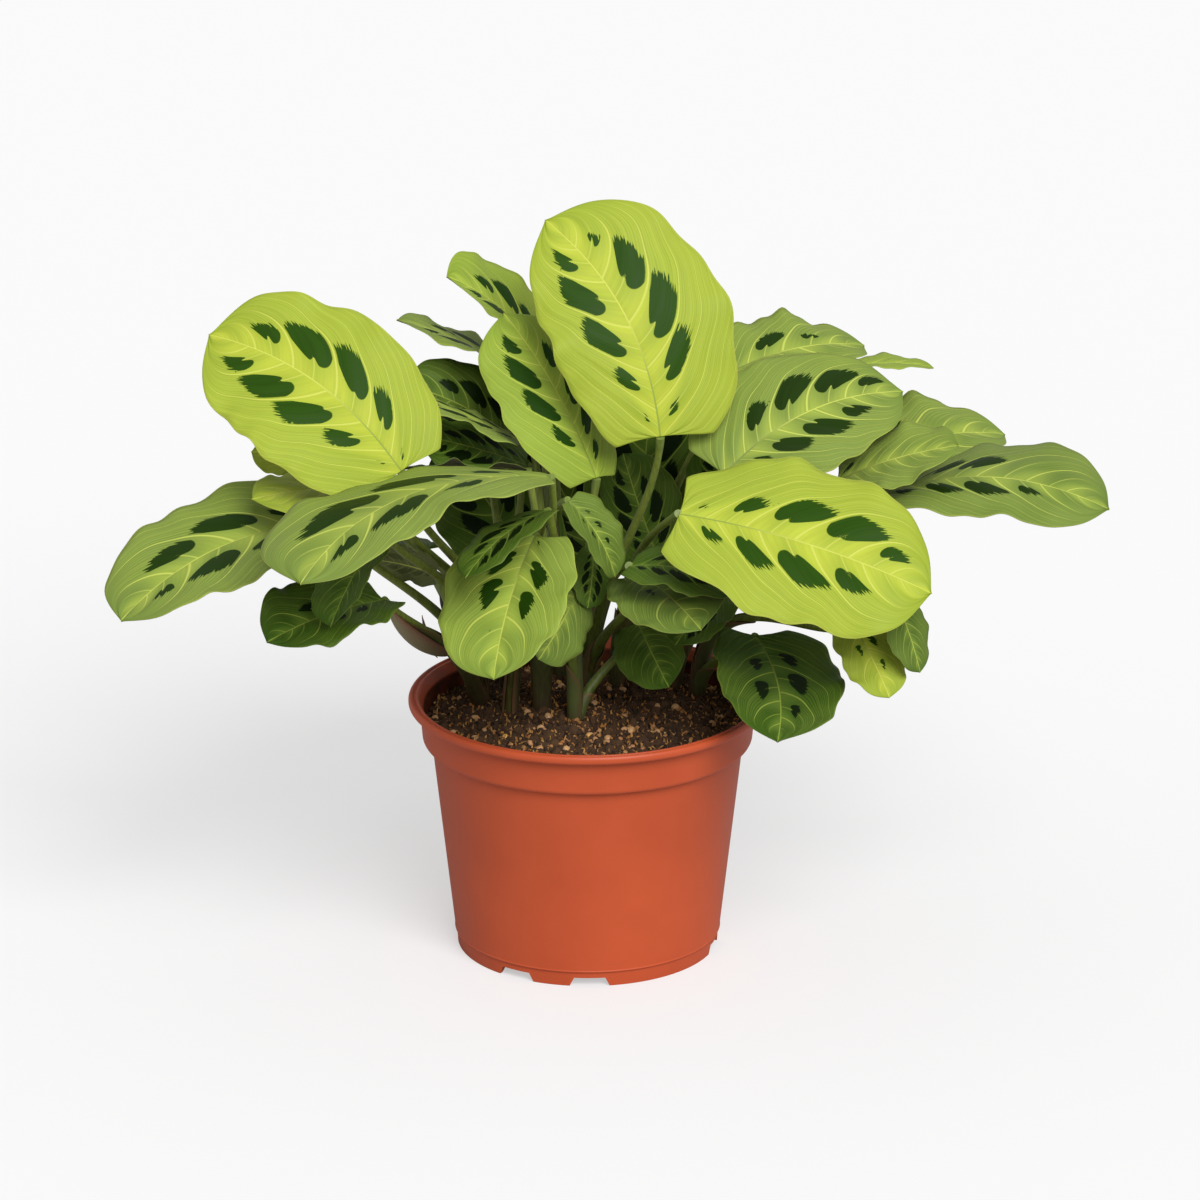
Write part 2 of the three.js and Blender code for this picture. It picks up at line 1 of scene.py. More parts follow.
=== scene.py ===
# A potted prayer plant: broad waved leaves, each with two rows of dark ragged blotches, on thin
# stalks that rise in shoots from the soil of a moulded plastic nursery pot.
# Sizes are in millimetres, turned into metres where a mesh is made. The front looks along -Y.

import math
import random

import bpy
import numpy as np
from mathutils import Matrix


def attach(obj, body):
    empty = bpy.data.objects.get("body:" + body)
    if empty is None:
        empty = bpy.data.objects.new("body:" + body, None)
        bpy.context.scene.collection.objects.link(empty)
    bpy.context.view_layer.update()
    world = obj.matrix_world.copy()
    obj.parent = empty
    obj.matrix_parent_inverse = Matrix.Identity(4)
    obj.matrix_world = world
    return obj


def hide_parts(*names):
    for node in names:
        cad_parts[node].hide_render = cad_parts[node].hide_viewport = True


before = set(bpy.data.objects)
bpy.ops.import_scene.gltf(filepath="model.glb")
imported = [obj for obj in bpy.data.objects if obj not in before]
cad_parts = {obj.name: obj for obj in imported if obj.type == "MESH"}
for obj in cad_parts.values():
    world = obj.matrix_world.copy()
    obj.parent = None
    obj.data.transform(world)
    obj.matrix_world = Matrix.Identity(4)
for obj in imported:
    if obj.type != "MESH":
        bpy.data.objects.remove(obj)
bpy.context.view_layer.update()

# ------------------------------------------------------------------ camera
# A long lens looks slightly down on the plant from the front, as in the photograph.

PHOTO_WIDTH = 1200
FOCAL_PIXELS = 7200
CAMERA_TARGET = np.array([4.2, 0.0, 121.0])
CAMERA_DISTANCE = 2400.0
CAMERA_ELEVATION = math.radians(19.5)

camera_data = bpy.data.cameras.new("camera")
camera_data.sensor_width = 36.0
camera_data.lens = camera_data.sensor_width * FOCAL_PIXELS / PHOTO_WIDTH
camera_data.clip_end = 100.0
camera = bpy.data.objects.new("camera", camera_data)
bpy.context.scene.collection.objects.link(camera)
back_off = np.array([0.0, -math.cos(CAMERA_ELEVATION), math.sin(CAMERA_ELEVATION)])
camera.location = (CAMERA_TARGET + CAMERA_DISTANCE * back_off) / 1000.0
camera.rotation_euler = (math.pi / 2 - CAMERA_ELEVATION, 0.0, 0.0)
bpy.context.scene.camera = camera

# ------------------------------------------------------------------ floor and light
# A plain white floor that also glows by itself, as a light table does, under an even white sky,
# with one broad soft lamp high at the front right.

FLOOR_RADIUS = 12.0
FLOOR_SIDES = 64
FLOOR_TONE = 0.45
FLOOR_GLOW = 0.5
SKY_STRENGTH = 0.5
KEY_STRENGTH = 2.5
KEY_SPREAD = math.radians(34)
KEY_TURN = (math.radians(49), 0.0, math.radians(21))


def colour(code):
    """A colour written as six hexadecimal digits, as the linear values that shaders take."""
    parts = [int(code[i:i + 2], 16) / 255 for i in (0, 2, 4)]
    return (*[p / 12.92 if p <= 0.04045 else ((p + 0.055) / 1.055) ** 2.4 for p in parts], 1.0)


def place(tree, kind, inputs=None, **settings):
    """A new node in a tree. An input is given by its number or name, as a value or a socket."""
    made = tree.nodes.new(kind)
    for key, value in settings.items():
        setattr(made, key, value)
    for key, value in (inputs or {}).items():
        if isinstance(value, bpy.types.NodeSocket):
            tree.links.new(value, made.inputs[key])
        else:
            made.inputs[key].default_value = value
    return made


def new_material(name):
    """An empty node material with a Principled shader, and its tree."""
    material = bpy.data.materials.new(name)
    material.use_nodes = True
    return material, material.node_tree, material.node_tree.nodes["Principled BSDF"]


def reckon(tree, operation, *values, clamp=False):
    """The result of one sum on values or sockets."""
    made = place(tree, "ShaderNodeMath", dict(enumerate(values)), operation=operation,
                 use_clamp=clamp)
    return made.outputs[0]


floor_material, floor_tree, floor_shader = new_material("white floor")
floor_shader.inputs["Base Color"].default_value = (FLOOR_TONE, FLOOR_TONE, FLOOR_TONE, 1.0)
floor_shader.inputs["Roughness"].default_value = 0.9
floor_shader.inputs["Specular IOR Level"].default_value = 0.0
floor_shader.inputs["Emission Color"].default_value = (1.0, 1.0, 1.0, 1.0)
seen = place(floor_tree, "ShaderNodeLightPath").outputs["Is Camera Ray"]
glow = reckon(floor_tree, "MULTIPLY", seen, FLOOR_GLOW)
floor_tree.links.new(glow, floor_shader.inputs["Emission Strength"])
floor_mesh = bpy.data.meshes.new("floor")
floor_corners = [(FLOOR_RADIUS * math.cos(a), FLOOR_RADIUS * math.sin(a), 0.0)
                 for a in np.linspace(0, math.tau, FLOOR_SIDES, endpoint=False)]
floor_mesh.from_pydata(floor_corners, [], [list(range(FLOOR_SIDES))])
floor_mesh.materials.append(floor_material)
floor = bpy.data.objects.new("floor", floor_mesh)
bpy.context.scene.collection.objects.link(floor)

world = bpy.data.worlds.new("white sky")
world.use_nodes = True
world.node_tree.nodes["Background"].inputs["Color"].default_value = (1.0, 1.0, 1.0, 1.0)
world.node_tree.nodes["Background"].inputs["Strength"].default_value = SKY_STRENGTH
bpy.context.scene.world = world
bpy.context.scene.view_settings.view_transform = "Standard"

key_data = bpy.data.lights.new("key lamp", "SUN")
key_data.energy = KEY_STRENGTH
key_data.angle = KEY_SPREAD
key_lamp = bpy.data.objects.new("key lamp", key_data)
key_lamp.rotation_euler = KEY_TURN
bpy.context.scene.collection.objects.link(key_lamp)

# ------------------------------------------------------------------ pot
# The pot is one thin shell of terracotta-coloured plastic, injection moulded: a rolled lip, a
# wide band, a tapering body and a foot ring cut by notches, with drain holes in its floor.

GAP = 0.3
POT_HEIGHT = 87.5
LIP_RADIUS = 60.0
LIP_DEPTH = 2.9
LIP_WIDTH = 3.6
BAND_TOP_RADIUS = 56.3
BAND_BOTTOM_RADIUS = 55.3
BAND_BOTTOM = 72.4
BODY_TOP_RADIUS = 52.3
BODY_BOTTOM_RADIUS = 44.9
FOOT_RADIUS = 44.2
FOOT_HEIGHT = 5.0
POT_WALL = 1.3
BAND_SHELF = 1.8
POT_FLOOR = 3.0
POT_FLOOR_TOP = 4.5
PAD_RADIUS = 10.0
# Degrees from the front to the middle of each notch; three more stand half a turn round.
NOTCH_TURNS = (-33, 1, 77)
NOTCH_WIDTH = 10.4
NOTCH_FLARE = 1.5
NOTCH_HEIGHT = 3.0
NOTCH_INWARD = 3.6
NOTCH_OUTWARD = 3.0
DRAINS = 6
DRAIN_SIDES = 24
DRAIN_RADIUS = 3.5
DRAIN_CIRCLE = 28.0
POT_SIDES = 240
POT_COLOUR = colour("d55d34")
POT_DEEP_COLOUR = colour("b74b27")
# The dark brown of soil dust together with painted shade on the inner wall.
POT_DUST_AND_SHADE_COLOUR = colour("2c1a11")
POT_ROUGHNESS = (0.4, 0.5)
POT_SPECULAR = 0.35
# Dust and painted shade darken the inner wall above the soil, within these radii and heights in
# metres.
DUST_AND_SHADE_RADII = (0.0552, 0.0549)
DUST_AND_SHADE_HEIGHTS = (0.0765, 0.0785)
DUST_AND_SHADE_LEAST = 0.78


def inside_radius(z):
    """The radius of the pot's inner wall at a height."""
    share = min(1.0, (z - FOOT_HEIGHT) / (BAND_BOTTOM - FOOT_HEIGHT))
    band = BAND_BOTTOM_RADIUS - BODY_TOP_RADIUS if z > BAND_BOTTOM + BAND_SHELF else 0.0
    return BODY_BOTTOM_RADIUS + share * (BODY_TOP_RADIUS - BODY_BOTTOM_RADIUS) + band - POT_WALL


def rounded_outline(corners, arc_points=4):
    """An outline given as (radius, height, rounding), with each corner turned into a short arc."""
    outline = []
    for index, (r, z, rounding) in enumerate(corners):
        corner = np.array([r, z])
        if rounding == 0:
            outline.append(corner)
            continue
        before = np.array(corners[index - 1][:2]) - corner
        after = np.array(corners[index + 1][:2]) - corner
        start = corner + before / np.linalg.norm(before) * rounding
        end = corner + after / np.linalg.norm(after) * rounding
        for t in np.linspace(0, 1, arc_points):
            outline.append((1 - t) ** 2 * start + 2 * t * (1 - t) * corner + t ** 2 * end)
    return outline


def turned_mesh(name, outline, sides):
    """An outline whose ends lie on the axis, turned round it into a closed solid, in metres."""
    middle = outline[1:-1]
    count = len(middle)
    points = [(0.0, 0.0, outline[0][1]), (0.0, 0.0, outline[-1][1])]
    for turn in np.linspace(0, math.tau, sides, endpoint=False):
        points += [(r * math.cos(turn), r * math.sin(turn), z) for r, z in middle]
    faces = []
    for side in range(sides):
        a = 2 + side * count
        b = 2 + (side + 1) % sides * count
        faces.append((0, b, a))
        faces += [(a + i, b + i, b + i + 1, a + i + 1) for i in range(count - 1)]
        faces.append((a + count - 1, b + count - 1, 1))
    mesh = bpy.data.meshes.new(name)
    mesh.from_pydata([tuple(0.001 * c for c in p) for p in points], [], faces)
    return mesh


def add_piece(name, mesh, material, slot, *nodes):
    """A finished piece of the object: it rides on the root body and stands for CAD nodes."""
    mesh.materials.clear()
    mesh.materials.append(material)
    piece = bpy.data.objects.new(name, mesh)
    bpy.context.scene.collection.objects.link(piece)
    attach(piece, "root")
    if nodes:
        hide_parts(*nodes)
    return piece


def applied(name, mesh, modify):
    """A mesh with the modifiers that modify() adds to its object, as a plain mesh."""
    holder = bpy.data.objects.new(name, mesh)
    bpy.context.scene.collection.objects.link(holder)
    modify(holder)
    evaluated = holder.evaluated_get(bpy.context.evaluated_depsgraph_get())
    result = bpy.data.meshes.new_from_object(evaluated)
    result.name = name
    holder.modifiers.clear()
    bpy.data.objects.remove(holder)
    return result


band_top = POT_HEIGHT - LIP_DEPTH
pot_outline = rounded_outline([
    (0, 0, 0),
    (PAD_RADIUS, 0, 0.3),
    (PAD_RADIUS + 0.6, POT_FLOOR, 0.3),
    (FOOT_RADIUS - 2.2, POT_FLOOR, 0.3),
    (FOOT_RADIUS - 1.8, 0, 0.2),
    (FOOT_RADIUS - 0.3, 0, 0.2),
    (FOOT_RADIUS, FOOT_HEIGHT, 0.15),
    (BODY_BOTTOM_RADIUS - 0.2, FOOT_HEIGHT + 0.1, 0.1),
    (BODY_BOTTOM_RADIUS, FOOT_HEIGHT + 0.5, 0.1),
    (BODY_BOTTOM_RADIUS - 0.15, FOOT_HEIGHT + 0.8, 0.1),
    (BODY_TOP_RADIUS, BAND_BOTTOM, 0.5),
    (BAND_BOTTOM_RADIUS - 0.6, BAND_BOTTOM, 0.4),
    (BAND_BOTTOM_RADIUS, BAND_BOTTOM + 0.9, 0.6),
    (BAND_TOP_RADIUS, band_top, 0.5),
    (LIP_RADIUS - 0.6, band_top, 0.4),
    (LIP_RADIUS, band_top + 0.7, 0.5),
    (LIP_RADIUS, POT_HEIGHT - 0.8, 0.5),
    (LIP_RADIUS - 0.6, POT_HEIGHT, 0.4),
    (LIP_RADIUS - 1.3, POT_HEIGHT, 0.2),
    (LIP_RADIUS - 1.7, POT_HEIGHT - 0.7, 0.15),
    (LIP_RADIUS - 2.1, POT_HEIGHT - 0.7, 0.15),
    (LIP_RADIUS - 2.4, POT_HEIGHT - 0.15, 0.2),
    (LIP_RADIUS - 3.0, POT_HEIGHT - 0.15, 0.2),
    (LIP_RADIUS - LIP_WIDTH, POT_HEIGHT - 0.6, 0.4),
    (BAND_TOP_RADIUS - POT_WALL, band_top - 0.6, 0.6),
    (BAND_BOTTOM_RADIUS - POT_WALL, BAND_BOTTOM + BAND_SHELF, 0.4),
    (inside_radius(BAND_BOTTOM), BAND_BOTTOM + BAND_SHELF - 1, 0.4),
    (inside_radius(POT_FLOOR_TOP), POT_FLOOR_TOP, 0.8),
    (0, POT_FLOOR_TOP, 0),
])


def pot_cutters():
    """The six notches in the foot ring, wider at their open end, and the drain holes."""
    points = []
    faces = []

    def add_prism(bottom, top):
        first = len(points)
        count = len(bottom)
        points.extend(bottom + top)
        faces.append([first + i for i in reversed(range(count))])
        faces.append([first + count + i for i in range(count)])
        for i in range(count):
            j = (i + 1) % count
            faces.append([first + i, first + j, first + count + j, first + count + i])

    for degrees in [turn + side for turn in NOTCH_TURNS for side in (-90, 90)]:
        turn = math.radians(degrees)
        outward = np.array([math.cos(turn), math.sin(turn), 0])
        sideways = np.array([-math.sin(turn), math.cos(turn), 0])
        layers = []
        for half, z in ((NOTCH_WIDTH / 2 + 2 * NOTCH_FLARE, -NOTCH_HEIGHT),
                        (NOTCH_WIDTH / 2, NOTCH_HEIGHT)):
            near, far = FOOT_RADIUS - NOTCH_INWARD, FOOT_RADIUS + NOTCH_OUTWARD
            corners = [(near, -half), (far, -half), (far, half), (near, half)]
            layers.append([tuple(0.001 * (outward * r + sideways * s + [0, 0, z]))
                           for r, s in corners])
        add_prism(*layers)
    for index in range(DRAINS):
        turn = math.tau * (index + 0.5) / DRAINS - math.pi / 2
        middle = DRAIN_CIRCLE * np.array([math.cos(turn), math.sin(turn)])
        rim = [middle + DRAIN_RADIUS * np.array([math.cos(a), math.sin(a)])
               for a in np.linspace(0, math.tau, DRAIN_SIDES, endpoint=False)]
        add_prism([(0.001 * x, 0.001 * y, -0.001) for x, y in rim],
                  [(0.001 * x, 0.001 * y, 0.01) for x, y in rim])
    mesh = bpy.data.meshes.new("pot cutters")
    mesh.from_pydata(points, [], faces)
    cutters = bpy.data.objects.new("pot cutters", mesh)
    bpy.context.scene.collection.objects.link(cutters)
    return cutters


def ramp(tree, value, start, end, low=0.0, high=1.0, kind="SMOOTHSTEP"):
    """A value carried from low at start to high at end."""
    made = place(tree, "ShaderNodeMapRange", {0: value, 1: start, 2: end, 3: low, 4: high},
                 interpolation_type=kind)
    return made.outputs[0]


def mixed(tree, share, first, second, blend="MIX"):
    """The first colour, with a share of the second laid over it."""
    made = place(tree, "ShaderNodeMix", {0: share, 6: first, 7: second}, data_type="RGBA",
                 blend_type=blend)
    return made.outputs[2]


def noise(tree, spot, scale, detail, roughness=0.5):
    """A cloudy pattern of values from 0 to 1."""
    made = place(tree, "ShaderNodeTexNoise", {"Vector": spot, "Scale": scale, "Detail": detail,
                                              "Roughness": roughness})
    return made.outputs[0]


def object_spot(tree):
    """The place on the object, in metres."""
    return place(tree, "ShaderNodeTexCoord").outputs["Object"]


def add_relief(tree, shader, height, strength, distance):
    """Fine relief on a material. distance is how high it stands, in metres."""
    bump = place(tree, "ShaderNodeBump", {"Height": height, "Strength": strength,
                                          "Distance": distance})
    tree.links.new(bump.outputs[0], shader.inputs["Normal"])


def moulded_plastic():
    """Satin plastic with fine mould grain, slight clouding, and dust and painted shade inside the
    lip.
    """
    material, tree, shader = new_material("terracotta plastic")
    spot = object_spot(tree)
    clouds = noise(tree, spot, 28, 4)
    x, y, z = place(tree, "ShaderNodeSeparateXYZ", {0: spot}).outputs
    square = reckon(tree, "MULTIPLY_ADD", y, y, reckon(tree, "MULTIPLY", x, x))
    # Above the soil the inner wall is painted dark: partly dust, partly painted shade that the
    # plant casts inside the pot.
    inside = ramp(tree, reckon(tree, "SQRT", square), *DUST_AND_SHADE_RADII, kind="LINEAR")
    high = ramp(tree, z, *DUST_AND_SHADE_HEIGHTS, kind="LINEAR")
    speckled = ramp(tree, noise(tree, spot, 160, 6), 0.42, 0.62, DUST_AND_SHADE_LEAST, kind="LINEAR")
    dust_and_shade = reckon(tree, "MULTIPLY", reckon(tree, "MULTIPLY", inside, high), speckled)
    base = mixed(tree, clouds, POT_DEEP_COLOUR, POT_COLOUR)
    tree.links.new(mixed(tree, dust_and_shade, base, POT_DUST_AND_SHADE_COLOUR), shader.inputs["Base Color"])
    gloss = ramp(tree, clouds, 0.3, 0.7, *POT_ROUGHNESS, kind="LINEAR")
    tree.links.new(gloss, shader.inputs["Roughness"])
    add_relief(tree, shader, noise(tree, spot, 900, 2), 0.08, 0.0002)
    shader.inputs["Specular IOR Level"].default_value = POT_SPECULAR
    return material


cutters = pot_cutters()


def cut_pot(holder):
    """Takes the notches and the drain holes out of the pot."""
    cut = holder.modifiers.new("notches and drains", "BOOLEAN")
    cut.operation = "DIFFERENCE"
    cut.object = cutters
    cut.solver = "EXACT"


pot_mesh = applied("pot", turned_mesh("pot blank", pot_outline, POT_SIDES), cut_pot)
bpy.data.objects.remove(cutters)
pot_mesh.shade_smooth()
pot_mesh.set_sharp_from_angle(angle=math.radians(50))
add_piece("pot_shell", pot_mesh, moulded_plastic(), "pot", "pot")

# ------------------------------------------------------------------ soil
# Moist dark potting soil fills the pot to just under its lip. Crumbs of peat, tan bark and
# fibre, golden mineral flakes and a few pale pebbles lie on it.

SOIL_LEVEL = 79.5
SOIL_MOUND = 2.2
SOIL_BUMP = 0.9
SOIL_BOTTOM = 4.8
SOIL_RINGS = 64
SOIL_SIDES = 240
SOIL_COLOUR = colour("21150c")
SOIL_LIGHT_COLOUR = colour("4a3421")
GRAIN_MOTTLE = 0.2


def soil_height(x, y):
    """The height of the soil's surface, mounded round the stalks and a little uneven."""
    share = np.minimum(1.0, np.hypot(x, y - 15) / 45)
    mound = SOIL_MOUND * (1 - share * share)
    bumps = np.sin(0.31 * x + 1.2) * np.cos(0.27 * y) + np.sin(0.13 * x - 0.22 * y)
    return SOIL_LEVEL + mound - 1 + 0.5 * SOIL_BUMP * bumps


def soil_meshes():
    """The whole body of soil, and its surface alone, for what is strewn over it."""
    reach = inside_radius(SOIL_LEVEL) - GAP
    turns = np.linspace(0, math.tau, SOIL_SIDES, endpoint=False)
    rings = []
    for index in range(1, SOIL_RINGS + 1):
        radius = reach * index / SOIL_RINGS
        x, y = radius * np.cos(turns), radius * np.sin(turns)
        fine = 0.25 * np.sin(1.9 * x + 0.7 * y) * np.sin(1.6 * y - 0.5 * x + 2)
        rings.append(np.stack([x, y, soil_height(x, y) + fine], axis=1))
    shelf = BAND_BOTTOM + BAND_SHELF + GAP
    for radius, z in ((inside_radius(shelf) - GAP, shelf),
                      (inside_radius(BAND_BOTTOM) - GAP, shelf - 1),
                      (inside_radius(SOIL_BOTTOM) - GAP, SOIL_BOTTOM)):
        rings.append(np.stack([radius * np.cos(turns), radius * np.sin(turns),
                               np.full(SOIL_SIDES, z)], axis=1))
    points = np.concatenate([[[0, 0, float(soil_height(0.0, 0.0))]], *rings]) / 1000
    faces = []
    for index in range(len(rings)):
        for side in range(SOIL_SIDES):
            a = 1 + index * SOIL_SIDES + side
            b = 1 + index * SOIL_SIDES + (side + 1) % SOIL_SIDES
            if index == 0:
                faces.append((0, a, b))
            if index + 1 < len(rings):
                faces.append((a, a + SOIL_SIDES, b + SOIL_SIDES, b))
    top_faces = SOIL_SIDES * SOIL_RINGS
    floor_ring = [len(points) - SOIL_SIDES + side for side in range(SOIL_SIDES)]
    body = bpy.data.meshes.new("soil")
    body.from_pydata(points.tolist(), [], faces + [floor_ring[::-1]])
    body.shade_smooth()
    top = bpy.data.meshes.new("soil top")
    top.from_pydata(points[:1 + top_faces].tolist(), [],
                    [f for f in faces if max(f) < 1 + top_faces])
    return body, top


def soil_finish():
    """Dark, dull and crumbly, with lighter lumps."""
    material, tree, shader = new_material("potting soil")
    lumps = noise(tree, object_spot(tree), 420, 8, 0.7)
    share = ramp(tree, lumps, 0.45, 0.75, kind="LINEAR")
    tree.links.new(mixed(tree, share, SOIL_COLOUR, SOIL_LIGHT_COLOUR), shader.inputs["Base Color"])
    shader.inputs["Roughness"].default_value = 0.9
    add_relief(tree, shader, lumps, 0.9, 0.001)
    return material


def read(tree, name):
    """A number that the mesh carries at each point."""
    return place(tree, "ShaderNodeAttribute", attribute_name=name).outputs["Fac"]


def grain_finish(name, dark, light, roughness):
    """A finish for loose grains: each grain takes its own shade between two colours."""
    material, tree, shader = new_material(name)
    mottles = noise(tree, object_spot(tree), 900, 3)
    shade = reckon(tree, "MULTIPLY_ADD", mottles, GRAIN_MOTTLE, read(tree, "tint"), clamp=True)
    tree.links.new(mixed(tree, shade, dark, light), shader.inputs["Base Color"])
    shader.inputs["Roughness"].default_value = roughness
    add_relief(tree, shader, mottles, 0.4, 0.0003)
    return material


def shape_tree(name, sizes, counts=()):
    """A Geometry Nodes tree with named inputs for sizes, counts and a material, and their
    sockets."""
    tree = bpy.data.node_groups.new(name, "GeometryNodeTree")
    sockets = [("Geometry", "Geometry"), *[(size, "Float") for size in sizes],
               *[(count, "Int") for count in counts], ("Material", "Material")]
    for socket, kind in sockets:
        tree.interface.new_socket(socket, in_out="INPUT", socket_type=f"NodeSocket{kind}")
    tree.interface.new_socket("Geometry", in_out="OUTPUT", socket_type="NodeSocketGeometry")
    return tree, place(tree, "NodeGroupInput").outputs


def end_tree(tree, shape, material):
    """Ends a tree: the shape is made real and takes its material."""
    real = place(tree, "GeometryNodeRealizeInstances", {0: shape})
    finished = place(tree, "GeometryNodeSetMaterial", {"Geometry": real.outputs[0],
                                                       "Material": material})
    place(tree, "NodeGroupOutput", {0: finished.outputs[0]})
    return tree


def drawn(tree, low, high, seed):
    """A random number for each point."""
    made = place(tree, "FunctionNodeRandomValue", {2: low, 3: high, "Seed": seed},
                 data_type="FLOAT")
    return made.outputs[1]


def kept(tree, shape, name, value, domain):
    """The shape, with a number kept on it under a name that materials read."""
    made = place(tree, "GeometryNodeStoreNamedAttribute", {
        "Geometry": shape, "Name": name, "Value": value}, domain=domain, data_type="FLOAT")
    return made.outputs[0]


def scatter_tree():
    """Strews rough grains over a surface. Each is stretched, turned and dented by itself."""
    tree, given = shape_tree("strewn grains", ("Density", "Smallest", "Largest", "Flatness",
                                               "Slimness", "Dents"), ("Detail", "Seed"))
    points = place(tree, "GeometryNodeDistributePointsOnFaces", {
        "Mesh": given["Geometry"], "Density": given["Density"], "Seed": given["Seed"]})
    grain = place(tree, "GeometryNodeMeshIcoSphere", {"Radius": 1.0,
                                                      "Subdivisions": given["Detail"]})
    spin = place(tree, "FunctionNodeRandomValue", {1: (math.tau, math.tau, math.tau),
                                                   "Seed": given["Seed"]},
                 data_type="FLOAT_VECTOR")
    size = drawn(tree, given["Smallest"], given["Largest"], given["Seed"])
    scale = place(tree, "ShaderNodeCombineXYZ", {
        0: size, 1: reckon(tree, "MULTIPLY", size, given["Slimness"]),
        2: reckon(tree, "MULTIPLY", size, given["Flatness"])})
    strewn = place(tree, "GeometryNodeInstanceOnPoints", {
        "Points": points.outputs["Points"], "Instance": grain.outputs["Mesh"],
        "Rotation": spin.outputs[0], "Scale": scale.outputs[0]})
    tinted = kept(tree, strewn.outputs[0], "tint", drawn(tree, 0.0, 1.0, given["Seed"]), "INSTANCE")
    real = place(tree, "GeometryNodeRealizeInstances", {0: tinted})
    spot = place(tree, "GeometryNodeInputPosition").outputs[0]
    rough = place(tree, "ShaderNodeTexNoise", {"Vector": spot, "Scale": 700.0, "Detail": 1.0})
    centred = place(tree, "ShaderNodeVectorMath", {0: rough.outputs[1], 1: (0.5, 0.5, 0.5)},
                    operation="SUBTRACT")
    dent = place(tree, "ShaderNodeVectorMath", {0: centred.outputs[0], "Scale": given["Dents"]},
                 operation="SCALE")
    dented = place(tree, "GeometryNodeSetPosition", {"Geometry": real.outputs[0],
                                                     "Offset": dent.outputs[0]})
    return end_tree(tree, dented.outputs[0], given["Material"])


def with_nodes(tree, values):
    """A function that adds a node modifier to an object, with its named inputs set."""
    def modify(holder):
        modifier = holder.modifiers.new(tree.name, "NODES")
        modifier.node_group = tree
        for item in tree.interface.items_tree:
            if item.in_out == "INPUT" and item.name in values:
                modifier[item.identifier] = values[item.name]
    return modify


soil_body, soil_top = soil_meshes()
add_piece("soil_body", soil_body, soil_finish(), "soil", "soil")
# Each kind of grain: how many lie on a square metre, its smallest and largest radius, its thickness
# and width as shares of its length, the depth of its dents, its faces' fineness, and its finish.
GRAINS = {
    "soil_crumbs": dict(density=9.0e5, smallest=0.4, largest=1.3, flatness=0.8, slimness=0.9,
                        dents=0.9, detail=1, dark="1a1009", light="4c331d", rough=0.95),
    "soil_lumps": dict(density=3.0e4, smallest=1.2, largest=2.6, flatness=0.6, slimness=0.8,
                       dents=1.6, detail=2, dark="20140b", light="553a22", rough=0.95),
    "soil_fibres": dict(density=1.6e5, smallest=0.7, largest=2.3, flatness=0.09, slimness=0.14,
                        dents=1.7, detail=2, dark="54341a", light="c48f4c", rough=0.7),
    "soil_shreds": dict(density=1.2e5, smallest=0.6, largest=1.8, flatness=0.25, slimness=0.4,
                        dents=1.6, detail=1, dark="4e2a10", light="b97a36", rough=0.8),
    "soil_bark": dict(density=4.0e4, smallest=0.9, largest=1.8, flatness=0.35, slimness=0.7,
                      dents=1.0, detail=1, dark="54301a", light="b98450", rough=0.8),
    "soil_flakes": dict(density=2.0e4, smallest=0.4, largest=0.8, flatness=0.7, slimness=0.9,
                        dents=0.5, detail=1, dark="b98a35", light="e6cf94", rough=0.35),
    "soil_pebbles": dict(density=9.0e3, smallest=0.9, largest=1.9, flatness=0.75, slimness=0.85,
                         dents=0.5, detail=2, dark="a5683f", light="d9a874", rough=0.5),
    "soil_orange_grains": dict(density=1.5e3, smallest=0.8, largest=1.4, flatness=0.8,
                               slimness=0.9, dents=0.5, detail=2, dark="c97b22",
                               light="eab560", rough=0.4),
}
strewn_grains = scatter_tree()
for seed, (name, grain) in enumerate(GRAINS.items()):
    finish = grain_finish(name.replace("_", " "), colour(grain["dark"]), colour(grain["light"]),
                          grain["rough"])
    values = {"Density": grain["density"], "Smallest": grain["smallest"] / 1000,
              "Largest": grain["largest"] / 1000, "Flatness": grain["flatness"],
              "Slimness": grain["slimness"], "Dents": grain["dents"] / 1000,
              "Detail": grain["detail"], "Seed": seed + 1, "Material": finish}
    add_piece(name, applied(name, soil_top.copy(), with_nodes(strewn_grains, values)), finish,
              "soil")
bpy.data.meshes.remove(soil_top)

# ------------------------------------------------------------------ stalks
# Each shoot is a clump of thin juicy stalks that stand in the soil. A stalk is green-brown at its
# foot and lighter above, and ends in a short swollen joint, by which it carries its blade.

STALK_TIP_RADIUS = 1.15
STALK_FOOT_RADIUS = 2.3
STALK_TAPER = 1.5
STALK_DEPTH = 3.0
STALK_RISE = 0.42
STALK_APPROACH = 0.3
STALK_STEPS = 56
STALK_SIDES = 14
JOINT_LENGTH = 9.0
JOINT_SWELL = 0.3
STALK_FOOT_COLOUR = colour("503a22")
STALK_COLOUR = colour("5d6c2a")
STALK_TOP_COLOUR = colour("7f8d38")
JOINT_COLOUR = colour("76873a")
TWIST_CENTRE = 0.35
# Where each shoot leaves the soil, (x, y).
SHOOTS = {
    "left_outer": (-36, 16),
    "left_back": (-27, 31),
    "left_front": (-26, 4),
    "front": (-15, 6),
    "front_right": (-4, -4),
    "middle": (0, 20),
    "middle_right": (10, 28),
    "right": (29, 30),
    "right_outer": (37, 21),
    "back": (-9, 38),
    "back_right": (13, 43),
}
